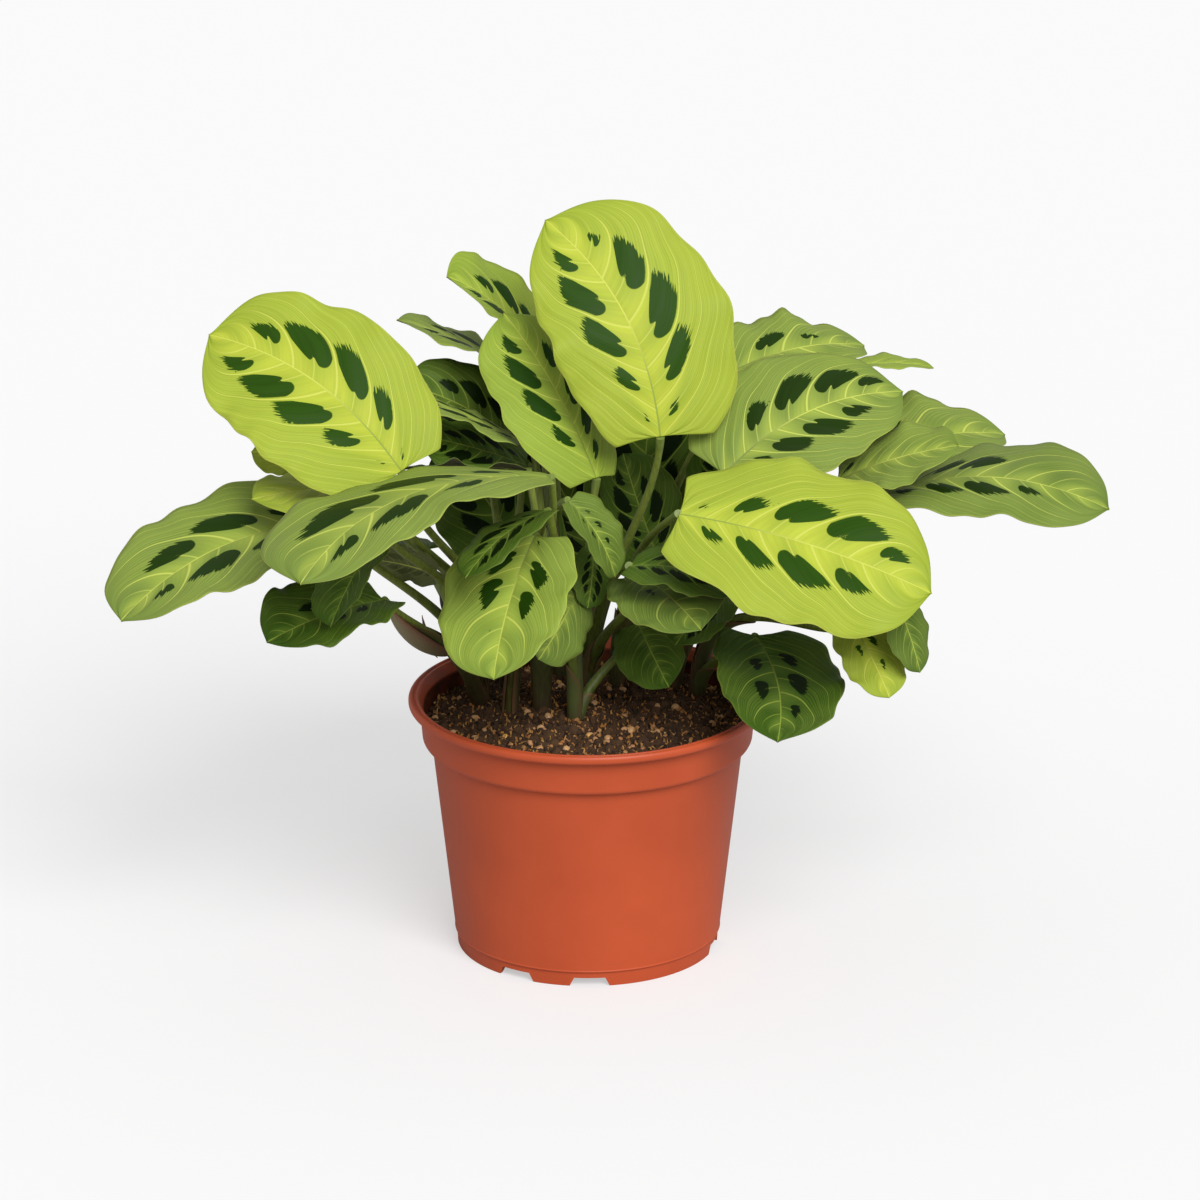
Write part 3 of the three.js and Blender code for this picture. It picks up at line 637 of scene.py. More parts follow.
# Each leaf: the shoot it belongs to, the joint of blade and stalk, the tip, where its upper side
# looks, half its width, its tint, and how it is bent: arch lifts the midrib and bow swings it
# sideways (both as a share of the length), fold and curl are degrees of keel at the midrib and of
# roll out to the margin, twist is degrees from base to tip, lean makes one half wider, and wave is
# the margin's waviness, slid along it by phase. via moves the stalk's middle, reach is the way the
# stalk points where it meets the blade, if not simply up and outwards, and sheath sets its sheath's
# length, turn and flare. panels is how many side veins each half has. marks gives how far out the
# blotches of the left and the right row reach, from base to tip, and shifts slides each row's side
# veins towards the base. age, from 0 for young to 1 for old, stands in for that of the tint.
LEAVES = {
    # the big lime leaves that face the front
    "crown": dict(
        shoot="middle", base=(24, -11, 182), tip=(-14, 20, 247), face=(0.2, -0.9, 0.35), half=30.5,
        tint="lime", arch=0.08, bow=0.09, fold=6, curl=-16, lean=0.1, wave=1.6, phase=1,
        marks=((0.24, 0.42, 0.57, 0.57, 0.42), (0.3, 0.52, 0.57, 0.5, 0.3)), shifts=(0.28, 0.18)),
    "left_high": dict(
        shoot="left_back", base=(-61, -23, 174), tip=(-125, 8, 211), face=(0.1, -0.7, 0.7), half=31,
        tint="lime", arch=0.1, bow=0.06, fold=9, curl=-7, lean=-0.08, wave=1.8, phase=0.4,
        marks=((0.22, 0.45, 0.57, 0.55, 0.43), (0.25, 0.48, 0.57, 0.57, 0.42)), shifts=(0.3, 0.5)),
    "right_front": dict(
        shoot="middle_right", base=(30, -46, 167), tip=(112, -56, 143), face=(0.2, -0.55, 0.8),
        half=32, tint="lime", arch=0.06, fold=5, twist=20, wave=2, phase=-2.8,
        reach=(0.3, -0.8, 0.5), marks=((0.25, 0.42, 0.55, 0.55, 0.4), (0.38, 0.48, 0.53, 0.42)),
        shifts=(0.25, -0.05)),
    # the grey-green ones that reach out to the sides
    "left_long": dict(
        shoot="front", base=(-12, -56, 183), tip=(-91, -104, 163), face=(-0.4, -0.05, 0.9), half=31,
        tint="grey_green", arch=0.1, bow=0.13, fold=2, twist=-24, lean=0.2, wave=1.6, phase=2.4,
        via=(-6, 0, 0), reach=(-0.1, -0.5, 0.8), panels=4.6,
        marks=((0.0, 0.42, 0.5, 0.4), (0.4, 0.55, 0.55))),
    "far_left": dict(
        shoot="left_outer", base=(-85, -12, 153), tip=(-152, -52, 132), face=(-0.2, -0.35, 0.9),
        half=27, tint="grey_green", arch=0.06, bow=0.08, fold=9, curl=-8, twist=12, wave=1.8,
        phase=2.7, panels=4.6, marks=((0.0, 0.45, 0.5, 0.35), (0.4, 0.55, 0.45))),
    "right_mid": dict(
        shoot="middle_right", base=(45, -12, 169), tip=(105, 18, 188), face=(-0.05, -0.6, 0.8),
        half=26, tint="grey_green", arch=0.1, bow=-0.06, fold=3, curl=-14, twist=-15, lean=-0.1,
        wave=1, phase=1.7, shifts=(0.02, -0.15)),
    "right_fold": dict(
        shoot="right", base=(83, -3, 164), tip=(122, -18, 181), face=(0.1, -0.45, 0.9), half=16,
        tint="grey_green", fold=8, twist=-10, wave=1.4, marks=((0.4,), ())),
    "right_back": dict(
        shoot="right", base=(88, 28, 155), tip=(141, 48, 163), face=(0.05, -0.4, 0.9), half=20,
        tint="grey_green", arch=0.12, bow=-0.02, fold=8, curl=-9, twist=-20, lean=-0.1, wave=1.8,
        phase=-0.3, panels=4, marks=((0.0, 0.5), (0.0, 0.4))),
    "far_right": dict(
        shoot="right", base=(96, -10, 161), tip=(171, -30, 163), face=(0.1, -0.15, 1), half=27,
        tint="grey_green", arch=0.12, fold=1, curl=-17, twist=24, lean=-0.2, wave=1.2, phase=-2.9,
        marks=((0.0, 0.5, 0.5), (0.4, 0.5, 0.5, 0.35)), age=0.72),
    # behind and above the middle
    "mid_left_high": dict(
        shoot="middle", base=(3, -6, 166), tip=(-28, 26, 213), face=(0.6, -0.65, 0.4), half=21,
        tint="green", arch=0.06, fold=2, curl=-18, twist=-24, lean=-0.1, wave=1.3, phase=0.5),
    "back_left_top": dict(
        shoot="back", base=(-12, 54, 184), tip=(-47, 38, 222), face=(0.2, -0.3, 0.9), half=19,
        tint="green", bow=0.08, fold=16, curl=-4, twist=6, wave=1.2),
    "back_left_thin": dict(
        shoot="back", base=(-16, 55, 176), tip=(-64, 44, 205), face=(0, 0, 1), half=16,
        tint="grey_green", arch=0.06, fold=8, wave=1.4),
    "back_right": dict(
        shoot="back_right", base=(48, 52, 184), tip=(94, 72, 187), face=(0, -0.4, 0.9), half=18,
        tint="grey_green", arch=0.1, fold=7, twist=-20, lean=-0.1, wave=2, panels=4,
        marks=((0.0, 0.5, 0.3), (0.0, 0.4))),
    "right_thin": dict(
        shoot="back_right", base=(80, 38, 188), tip=(116, 38, 190), face=(0, 0.1, 1), half=11,
        tint="green", arch=0.07, fold=10, wave=0.6, marks=((), ())),
    # the darker leaves between them on the left
    "left_dark_up": dict(
        shoot="left_back", base=(-22, 40, 160), tip=(-62, 38, 184), face=(0, -0.6, 0.8), half=18,
        tint="dark_green", arch=0.08, bow=0.04, wave=1.2),
    "left_strip": dict(
        shoot="front", base=(-18, 4, 173), tip=(-60, 2, 193), face=(0.1, 0.1, 1), half=13,
        tint="grey_green", arch=0.02, fold=4, wave=1),
    "left_dark_low": dict(
        shoot="back", base=(-20, 16, 163), tip=(-56, 8, 176), face=(-0.2, -0.4, 0.9), half=16,
        tint="dark_green", arch=0.03, fold=2, curl=-20, wave=1.2),
    "left_wavy": dict(
        shoot="front", base=(-20, -12, 171), tip=(-64, -14, 171), face=(0, 0.35, 0.95), half=9,
        tint="dark_green", arch=0.04, fold=6, wave=1.6, reach=(-0.2, -0.1, 1)),
    "left_yellow": dict(
        shoot="left_back", base=(-68, -10, 163), tip=(-110, -26, 165), face=(-0.15, -0.2, 1),
        half=17, tint="lime", curl=-14, wave=1.4, marks=((), ())),
    "left_tiny": dict(
        shoot="left_back", base=(-85, 13, 165), tip=(-112, 15, 168), face=(-0.1, -0.5, 0.85),
        half=10, tint="lime", wave=0.8, marks=((), ())),
    "left_drip": dict(
        shoot="left_outer", base=(-67, -36, 157), tip=(-83, -66, 135), face=(-0.6, -0.7, 0.35),
        half=13, tint="dark_green", fold=20, curl=-6, twist=10, wave=1, via=(0, 4, 10),
        marks=((), ())),
    "left_under": dict(
        shoot="left_outer", base=(-50, -2, 131), tip=(-72, 4, 134), face=(-0.2, 0.9, 0.4), half=8,
        tint="grey_green", wave=0.8),
    "low_left": dict(
        shoot="left_outer", base=(-67, -34, 133), tip=(-104, -64, 129), face=(-0.25, -0.45, 0.85),
        half=18, tint="dark_green", fold=16, curl=-6, twist=-18, wave=1.8, phase=1.2,
        via=(-5, -10, -4), reach=(-0.4, -0.6, 0.7), sheath=(0.86, 3.6, 1.2), panels=5,
        marks=((0.0, 0.4, 0.4), (0.0, 0.42, 0.38))),
    # the young ones that hang at the front
    "front": dict(
        shoot="left_front", base=(-17, -42, 158), tip=(-30, -88, 125), face=(-0.25, -0.8, 0.5),
        half=21.5, tint="green", arch=0.02, bow=0.03, fold=9, curl=-8, twist=9, lean=0.05, wave=1.3,
        phase=1.7, panels=4.6, marks=((0.25, 0.52, 0.42), (0.5, 0.45, 0.19)), shifts=(0.45, -0.3),
        age=0.5),
    "front_roll": dict(
        shoot="front", base=(-13, -52, 170), tip=(-39, -78, 156), face=(-0.6, -0.3, 0.75), half=12,
        tint="dark_green", arch=0.08, fold=8, curl=-14, twist=-12, wave=0.8,
        reach=(-0.2, -0.6, 0.8)),
    "behind_front": dict(
        shoot="front_right", base=(-3, -22, 133), tip=(-16, -50, 118), face=(0.6, -0.7, 0.35),
        half=12, tint="grey_green", curl=-18, wave=0.8, marks=((), ()), age=0.8),
    "centre_narrow": dict(
        shoot="front", base=(-6, -36, 168), tip=(9, -40, 143), face=(0.3, -0.35, 0.9), half=10,
        tint="grey_green", arch=0.1, fold=16, curl=-6, wave=0.6, reach=(0.5, -0.6, 0.4),
        marks=((0.0, 0.3, 0.35, 0.3), (0.0, 0.3, 0.33)), age=0.85),
    "centre_small": dict(
        shoot="front_right", base=(2, -18, 145), tip=(0, -28, 128), face=(0.5, -0.75, 0.4), half=7,
        tint="dark_green", wave=0.6),
    "dark_centre": dict(
        shoot="middle_right", base=(26, 30, 120), tip=(12, 50, 156), face=(-0.2, -1, 0.1), half=15,
        tint="dark_green", arch=0.06, fold=4, curl=-14, wave=1.2),
    "dark_right": dict(
        shoot="right", base=(50, 24, 129), tip=(42, 36, 165), face=(0.2, -0.95, 0.2), half=14,
        tint="dark_green", arch=0.06, wave=1.2),
    # the dark ones inside, behind the stalks
    "inner_high": dict(
        shoot="back_right", base=(18, 52, 125), tip=(23, 70, 190), face=(-0.2, -1.3, 0.1), half=22,
        tint="dark_green", arch=0.04, wave=1, via=(2, 2, 1)),
    "inner_left": dict(
        shoot="back", base=(-16, 46, 114), tip=(-49, 78, 152), face=(-0.2, -0.7, 0.3), half=20,
        tint="dark_green", arch=0.04, wave=1, via=(-2, 1, -3)),
    "inner_middle": dict(
        shoot="back", base=(7, 52, 110), tip=(-20, 92, 150), face=(0.1, -1.1, 0.5), half=16,
        tint="dark_green", arch=0.04, wave=1, via=(-2, -2, -2)),
    # the low ones over the soil and the rim on the right
    "right_dark": dict(
        shoot="middle", base=(14, -40, 147), tip=(49, -52, 142), face=(0.2, -0.3, 0.95), half=13,
        tint="dark_green", arch=0.1, fold=8, twist=8, wave=1, reach=(0.1, -0.9, 0.3)),
    "right_low_grey": dict(
        shoot="middle", base=(18, -22, 137), tip=(37, -66, 134), face=(0, -0.55, 0.85), half=18,
        tint="grey_green", fold=12, curl=-8, twist=12, wave=1, panels=4, marks=((), (0.0, 0.3)),
        age=0.8),
    "right_behind": dict(
        shoot="middle_right", base=(44, -10, 128), tip=(29, -36, 118), face=(0, -0.5, 0.9), half=11,
        tint="dark_green", fold=12, wave=0.8),
    "low_centre": dict(
        shoot="front_right", base=(17, 2, 112), tip=(27, -30, 101), face=(-0.2, -0.8, 0.5), half=12,
        tint="dark_green", fold=12, curl=-8, wave=1, marks=((), ())),
    "low_right": dict(
        shoot="right_outer", base=(56, -8, 111), tip=(62, -68, 96), face=(0.2, -0.6, 0.8),
        half=21.5, tint="dark_green", arch=0.02, bow=-0.06, fold=14, curl=-6, twist=12, wave=1.2,
        panels=5, marks=((0.0, 0.42, 0.45, 0.35), (0.0, 0.4, 0.4))),
    "low_right_lime": dict(
        shoot="right_outer", base=(87, -30, 124), tip=(99, -51, 105), face=(0.25, -0.7, 0.65),
        half=11, tint="lime", fold=9, wave=1.2, via=(0, 0, 20), panels=4,
        marks=((0.0, 0.4, 0.3), (0.0, 0.35))),
    "low_right_grey": dict(
        shoot="right_outer", base=(99, -38, 139), tip=(109, -46, 112), face=(0.5, -0.6, 0.6),
        half=9.5, tint="grey_green", curl=-18, twist=-12, wave=0.6, via=(0, 0, 16),
        marks=((0.4,), (0.45, 0.3)), age=0.85),
    # the far side
    "back_wide_left": dict(
        shoot="left_back", base=(-36, 56, 158), tip=(-80, 94, 146), face=(-0.2, 0.4, 0.9), half=25,
        tint="grey_green", arch=0.08, wave=1.8),
    "back_wide_middle": dict(
        shoot="back", base=(-12, 74, 162), tip=(-38, 124, 150), face=(0, 0.5, 0.85), half=24,
        tint="green", arch=0.08, fold=8, wave=1.8, phase=2),
    "back_wide_right": dict(
        shoot="back_right", base=(28, 72, 158), tip=(50, 120, 143), face=(0.1, 0.5, 0.85), half=24,
        tint="grey_green", arch=0.08, wave=1.6, phase=1),
    "back_far_right": dict(
        shoot="back_right", base=(62, 56, 150), tip=(108, 92, 136), face=(0.3, 0.4, 0.85), half=24,
        tint="grey_green", arch=0.08, fold=8, wave=1.8, phase=3),
    "back_low_left": dict(
        shoot="left_outer", base=(-56, 42, 124), tip=(-92, 70, 110), face=(-0.3, 0.4, 0.85),
        half=19, tint="dark_green", arch=0.08, wave=1.4),
    "back_low_middle": dict(
        shoot="back", base=(0, 70, 124), tip=(-6, 110, 108), face=(0, 0.5, 0.85), half=19,
        tint="dark_green", arch=0.08, wave=1.4, phase=2),
    "back_low_right": dict(
        shoot="right", base=(50, 50, 116), tip=(82, 82, 102), face=(0.3, 0.4, 0.85), half=19,
        tint="dark_green", arch=0.08, wave=1.4, phase=1),
}


def unit(vector):
    """The same direction, one long."""
    return vector / np.linalg.norm(vector)


def blade_frame(leaf):
    """The blade's midrib as a curve, and the directions along it, off its face and across it."""
    base, tip = np.array(leaf["base"], float), np.array(leaf["tip"], float)
    length = np.linalg.norm(tip - base)
    chord = (tip - base) / length
    face = np.array(leaf["face"], float)
    face = unit(face - chord * face.dot(chord))
    side = np.cross(chord, face)
    control = (base + tip) / 2 + 2 * length * (
        leaf.get("arch", 0.05) * face + leaf.get("bow", 0.0) * side)

    def at(t):
        t = np.asarray(t, float)[..., None]
        point = (1 - t) ** 2 * base + 2 * t * (1 - t) * control + t ** 2 * tip
        along = 2 * (1 - t) * (control - base) + 2 * t * (tip - control)
        along /= np.linalg.norm(along, axis=-1, keepdims=True)
        normal = face - along * (along @ face)[..., None]
        normal /= np.linalg.norm(normal, axis=-1, keepdims=True)
        turn = np.radians(leaf.get("twist", 0.0)) * (t - TWIST_CENTRE)
        normal = normal * np.cos(turn) + np.cross(along, normal) * np.sin(turn)
        return point, along, normal, np.cross(along, normal)

    return length, at


def stalk_path(leaf):
    """Points of the stalk from its shoot's foot in the soil to its blade."""
    foot = np.array([*SHOOTS[leaf["shoot"]], SOIL_LEVEL - STALK_DEPTH])
    _, at = blade_frame(leaf)
    base, along, normal, _ = at(0.0)
    up = np.array([0.0, 0.0, 1.0])
    reach = unit(np.array(leaf.get("reach", along + normal + up), float))
    end = base - GAP * along
    span = np.linalg.norm(end - foot)
    lower = foot + STALK_RISE * span * up + np.array(leaf.get("via", (0, 0, 0)))
    upper = end - STALK_APPROACH * span * reach
    t = np.linspace(0, 1, STALK_STEPS + 1)[:, None]
    return ((1 - t) ** 3 * foot + 3 * t * (1 - t) ** 2 * lower + 3 * t ** 2 * (1 - t) * upper
            + t ** 3 * end)


def stalk_tree():
    """Turns paths into tapering stalks that swell a little just under the blade."""
    tree, given = shape_tree("tapered stalks", ("Tip Radius", "Foot Radius", "Joint Length",
                                                "Joint Swell"))
    path = place(tree, "GeometryNodeMeshToCurve", {0: given["Geometry"]}).outputs[0]
    walked = place(tree, "GeometryNodeSplineParameter").outputs
    whole = place(tree, "GeometryNodeSplineLength").outputs[0]
    rest = reckon(tree, "SUBTRACT", whole, walked["Length"])
    taper = reckon(tree, "POWER", reckon(tree, "SUBTRACT", 1.0, walked["Factor"]), STALK_TAPER)
    spread = reckon(tree, "SUBTRACT", given["Foot Radius"], given["Tip Radius"])
    radius = reckon(tree, "MULTIPLY_ADD", taper, spread, given["Tip Radius"])
    swollen = ramp(tree, rest, given["Joint Length"], 0.0, kind="SMOOTHERSTEP")
    thick = reckon(tree, "MULTIPLY_ADD", swollen, given["Joint Swell"], radius)
    path = kept(tree, path, "joint", swollen, "POINT")
    path = kept(tree, path, "rise", walked["Factor"], "POINT")
    ring = place(tree, "GeometryNodeCurvePrimitiveCircle", {"Resolution": STALK_SIDES,
                                                            "Radius": 1.0})
    tube = place(tree, "GeometryNodeCurveToMesh", {"Curve": path, "Scale": thick,
                                                   "Profile Curve": ring.outputs[0],
                                                   "Fill Caps": True})
    smooth = place(tree, "GeometryNodeSetShadeSmooth", {"Geometry": tube.outputs[0]})
    return end_tree(tree, smooth.outputs[0], given["Material"])


def shaded(tree, value, stops):
    """A colour that runs through stops, each given as its place and its colour."""
    made = place(tree, "ShaderNodeValToRGB", {0: value})
    elements = made.color_ramp.elements
    elements[0].position, elements[0].color = stops[0]
    elements[1].position, elements[1].color = stops[-1]
    for where, stop_colour in stops[1:-1]:
        elements.new(where).color = stop_colour
    return made.outputs[0]


def streaks_upward(tree, spot, scale, stretch):
    """Fine streaks that run up a stalk."""
    stretched = place(tree, "ShaderNodeMapping", {"Vector": spot, "Scale": (1.0, 1.0, stretch)})
    return noise(tree, stretched.outputs[0], scale, 4)


def stalk_finish():
    """Brown at the foot, green above, pale at the joint, with fine streaks along the stalk."""
    material, tree, shader = new_material("leaf stalk")
    spot = object_spot(tree)
    streaks = streaks_upward(tree, spot, 900, 0.12)
    uneven = reckon(tree, "MULTIPLY_ADD", noise(tree, spot, 55, 3), 0.55, read(tree, "rise"))
    skin = shaded(tree, uneven, [(0.3, STALK_FOOT_COLOUR), (0.55, STALK_COLOUR),
                                 (1.0, STALK_TOP_COLOUR)])
    skin = mixed(tree, read(tree, "joint"), skin, JOINT_COLOUR)
    streaked = ramp(tree, streaks, 0.3, 0.7, 0.75, 1.2, kind="LINEAR")
    tree.links.new(mixed(tree, 1.0, skin, streaked, "MULTIPLY"), shader.inputs["Base Color"])
    shader.inputs["Roughness"].default_value = 0.42
    add_relief(tree, shader, streaks, 0.25, 0.0003)
    return material


tapered_stalks = stalk_tree()
stalk_green = stalk_finish()
stalk_sizes = {"Tip Radius": STALK_TIP_RADIUS / 1000, "Foot Radius": STALK_FOOT_RADIUS / 1000,
               "Joint Length": JOINT_LENGTH / 1000, "Joint Swell": JOINT_SWELL / 1000,
               "Material": stalk_green}
for shoot in SHOOTS:
    paths = [stalk_path(leaf) for leaf in LEAVES.values() if leaf["shoot"] == shoot]
    edges = [(STALK_STEPS * i + i + j, STALK_STEPS * i + i + j + 1)
             for i in range(len(paths)) for j in range(STALK_STEPS)]
    routes = bpy.data.meshes.new(f"routes of {shoot}")
    routes.from_pydata((np.concatenate(paths) / 1000).tolist(), edges, [])
    stalks = applied(f"stalks_{shoot}", routes, with_nodes(tapered_stalks, stalk_sizes))
    add_piece(f"stalks_{shoot}", stalks, stalk_green, "stalk", f"shoot_{shoot}")

# ------------------------------------------------------------------ sheaths
# The foot of each stalk is a long open sheath that wraps its neighbours: a thin green-brown skin
# with a dry brown edge, which runs out slantwise about a third of the way up. Low on the left a
# withered bract and two dry scales hang on.

SHEATH_SKIN = 0.3
SHEATH_CLEARANCE = 0.35
SHEATH_WRAP = math.radians(150)
SHEATH_SHARE = (0.26, 0.5)
SHEATH_ROWS = 30
SHEATH_COLUMNS = 20
SHEATH_SLANT = 0.4
SHEATH_UNEVEN = 0.06
SHEATH_SWELL = 0.4
SHEATH_FLARE = 1.0
SHEATH_COLOUR = colour("55602f")
SHEATH_FOOT_COLOUR = colour("41301f")
SHEATH_EDGE_COLOUR = colour("7d5a3c")
# The bract and the scales are half-open boats. The bract lies along a run of its stalk's steps.
BOAT_WRAP = math.radians(80)
BOAT_COLUMNS = 12
BOAT_LEAST = 0.12
BRACT_STEPS = slice(20, 54)
BRACT_HANG = (-0.2, -0.1, -0.3)
BRACT_DEPTH = 6.4
BRACT_WIDTH = 3.2
BRACT_COLOUR = colour("8a8262")
BRACT_FOOT_COLOUR = colour("6f6a48")
BRACT_EDGE_COLOUR = colour("8a5a48")
SCALE_STEPS = 12
SCALE_KEEL = (-1, -0.3, 0.2)
SCALE_DEPTH = 1.6
SCALE_WIDTH = 1.4
# Each dry scale: its foot and its tip, and its colour.
DRY_SCALES = (
    ("dry_scale_dark", ((-46, 0, 114), (-49, 0, 125)), "3d3a2a"),
    ("dry_scale_red", ((-50, -4, 102), (-55, -4, 117)), "7a4c38"),
)


def sheet_mesh(name, upper, lower, numbers):
    """A thin closed skin between two grids of points in millimetres. numbers are grids of values
    for the upper and the lower side, kept as attributes of the mesh."""
    rows, columns = upper.shape[:2]
    points = np.concatenate([upper.reshape(-1, 3), lower.reshape(-1, 3)]) / 1000
    index = np.arange(rows * columns).reshape(rows, columns)
    corners = np.stack([index[:-1, :-1], index[:-1, 1:], index[1:, 1:], index[1:, :-1]], axis=-1)
    top = corners.reshape(-1, 4)
    under = top[:, ::-1] + rows * columns
    loop = np.concatenate([index[0, :-1], index[:-1, -1], index[-1, :0:-1], index[:0:-1, 0]])
    after = np.roll(loop, -1)
    rim = np.stack([after, loop, loop + rows * columns, after + rows * columns], axis=-1)
    mesh = bpy.data.meshes.new(name)
    mesh.from_pydata(points.tolist(), [], np.concatenate([top, under, rim]).tolist())
    mesh.shade_smooth()
    for key, (over, below) in numbers.items():
        values = np.concatenate([over.ravel(), below.ravel()]).astype(np.float32)
        mesh.attributes.new(key, "FLOAT", "POINT").data.foreach_set("value", values)
    return mesh


def path_frames(path, first=(1.0, 0.0, 0.0)):
    """For each point of a path, the direction along it and two across it that don't spin."""
    along = np.gradient(path, axis=0)
    along /= np.linalg.norm(along, axis=1, keepdims=True)
    first = np.array(first, float)
    sides = []
    for direction in along:
        first = unit(first - direction * first.dot(direction))
        sides.append(first)
    sides = np.array(sides)
    return along, sides, np.cross(along, sides)


def sheath_mesh(name, path, share, turn, flare):
    """A skin round the foot of a stalk, up to a share of its path, open along one side."""
    _, side, across = path_frames(path)
    angle = np.linspace(-SHEATH_WRAP, SHEATH_WRAP, SHEATH_COLUMNS + 1)
    bend = angle / SHEATH_WRAP
    waved = SHEATH_UNEVEN * np.sin(3 * bend + turn)
    reach = share * (1 - SHEATH_SLANT * np.abs(bend) ** 1.5 - waved)
    t = np.linspace(0, 1, SHEATH_ROWS + 1)[:, None] * reach[None, :]
    where = t * (len(path) - 1)
    low = np.floor(where).astype(int)
    part = (where - low)[..., None]

    def between(values):
        return values[low] * (1 - part) + values[np.minimum(low + 1, len(path) - 1)] * part

    taper = (1 - t) ** STALK_TAPER
    stalk_radius = STALK_TIP_RADIUS + (STALK_FOOT_RADIUS - STALK_TIP_RADIUS) * taper
    opened = flare * (t / share) ** 3 * (0.3 + bend ** 2)
    radius = stalk_radius + SHEATH_CLEARANCE + opened + SHEATH_SWELL * (1 - t / share)
    turned = angle[None, :] + turn
    outward = (between(side) * np.cos(turned)[..., None]
               + between(across) * np.sin(turned)[..., None])
    centre = between(path)
    outer = centre + outward * radius[..., None]
    inner = centre + outward * (radius - SHEATH_SKIN)[..., None]
    edge = np.maximum(np.abs(bend)[None, :] ** 6, (t / reach[None, :]) ** 10)
    rise = t / share
    return sheet_mesh(name, outer, inner, {"edge": (edge, edge), "rise": (rise, rise)})


def boat_mesh(name, path, keel, depth, width):
    """A thin skin like a half-open boat along a path. keel is the way its closed side looks."""
    _, side, across = path_frames(path, keel)
    t, bend = np.meshgrid(np.linspace(0, 1, len(path)), np.linspace(-1, 1, BOAT_COLUMNS + 1),
                          indexing="ij")
    swell = np.maximum(BOAT_LEAST, np.sin(math.pi * t ** 0.8) ** 0.7)[..., None]
    turned = (bend * BOAT_WRAP)[..., None]
    outward = depth * side[:, None] * np.cos(turned) + width * across[:, None] * np.sin(turned)
    outer = path[:, None] + swell * outward
    skin = SHEATH_SKIN * outward / np.linalg.norm(outward, axis=-1, keepdims=True)
    return sheet_mesh(name, outer, outer - skin,
                      {"edge": (np.abs(bend) ** 4, np.abs(bend) ** 4), "rise": (t, t)})


def sheath_finish(name, foot_colour, skin_colour, edge_colour):
    """Streaked skin that changes from the foot's colour upwards, with dry edges."""
    material, tree, shader = new_material(name)
    streaks = streaks_upward(tree, object_spot(tree), 1100, 0.08)
    up = reckon(tree, "MULTIPLY_ADD", streaks, 0.6, read(tree, "rise"))
    skin = mixed(tree, ramp(tree, up, 0.3, 0.8, kind="LINEAR"), foot_colour, skin_colour)
    dry = mixed(tree, read(tree, "edge"), skin, edge_colour)
    tree.links.new(dry, shader.inputs["Base Color"])
    shader.inputs["Roughness"].default_value = 0.5
    add_relief(tree, shader, streaks, 0.3, 0.0003)
    return material


sheath_skin = sheath_finish("stalk sheath", SHEATH_FOOT_COLOUR, SHEATH_COLOUR, SHEATH_EDGE_COLOUR)
sheath_draw = random.Random(5)
for name, leaf in LEAVES.items():
    share, turn = sheath_draw.uniform(*SHEATH_SHARE), sheath_draw.uniform(0, math.tau)
    flare = SHEATH_FLARE * sheath_draw.random()
    share, turn, flare = leaf.get("sheath", (share, turn, flare))
    sheath = sheath_mesh(f"sheath_{name}", stalk_path(leaf), share, turn, flare)
    add_piece(f"sheath_{name}", sheath, sheath_skin, "stalk")

bract_path = stalk_path(LEAVES["low_left"])[BRACT_STEPS]
hang = np.array(BRACT_HANG) * np.sin(np.linspace(0.1, 2.6, len(bract_path)))[:, None] ** 0.6
bract = boat_mesh("bract", bract_path + hang, BRACT_HANG, BRACT_DEPTH, BRACT_WIDTH)
bract_skin = sheath_finish("withered bract", BRACT_FOOT_COLOUR, BRACT_COLOUR, BRACT_EDGE_COLOUR)
add_piece("bract", bract, bract_skin, "stalk")
for name, ends, code in DRY_SCALES:
    scale_path = np.linspace(*np.array(ends, float), SCALE_STEPS + 1)
    scale = boat_mesh(name, scale_path, SCALE_KEEL, SCALE_DEPTH, SCALE_WIDTH)
    scale_colour = colour(code)
    scale_skin = sheath_finish(name.replace("_", " "), scale_colour, scale_colour, scale_colour)
    add_piece(name, scale, scale_skin, "stalk")

# ------------------------------------------------------------------ leaf blades
# A blade is a thin satin skin, quilted between side veins that sweep forward from its midrib. The
# young ones are lime, the old ones deep green. Two rows of dark blotches lie between the side
# veins, in round lobes towards the midrib and ragged towards the margin.

BLADE_THICKNESS = 0.34
BLADE_EDGE = 0.18
# Fold and curl in degrees, for a leaf that gives none.
BLADE_FOLD = 5
BLADE_CURL = -12
# The fineness of a blade's mesh: rows from base to tip, and columns on each side of the midrib.
BLADE_ROWS = (64, 104)
ROWS_PER_LENGTH = 1.2
HALF_COLUMNS = (12, 26)
COLUMNS_PER_WIDTH = 0.9
INNER_SPACING = 0.3
BASE_LOBE = 0.24
FRILL = 0.35
RIB_HEIGHT = 0.6
RIB_WIDTH = 0.8
RIB_GROOVE = 0.25
QUILT = 0.26
TIP_TAPER = 0.035
MARGIN_UNEVEN = 0.018
# The side veins: how far towards the tip each has gone at the margin, in shares of the length, how
# many there are, how they crowd, and how each row is slid.
VEIN_LEAVING = 0.2
VEIN_SWEEP = 0.36
VEIN_BEND = 2.4
VEIN_PANELS = 6.0
VEIN_CROWDING = 0.24
VEIN_SHIFTS = (0.32, 0.0)
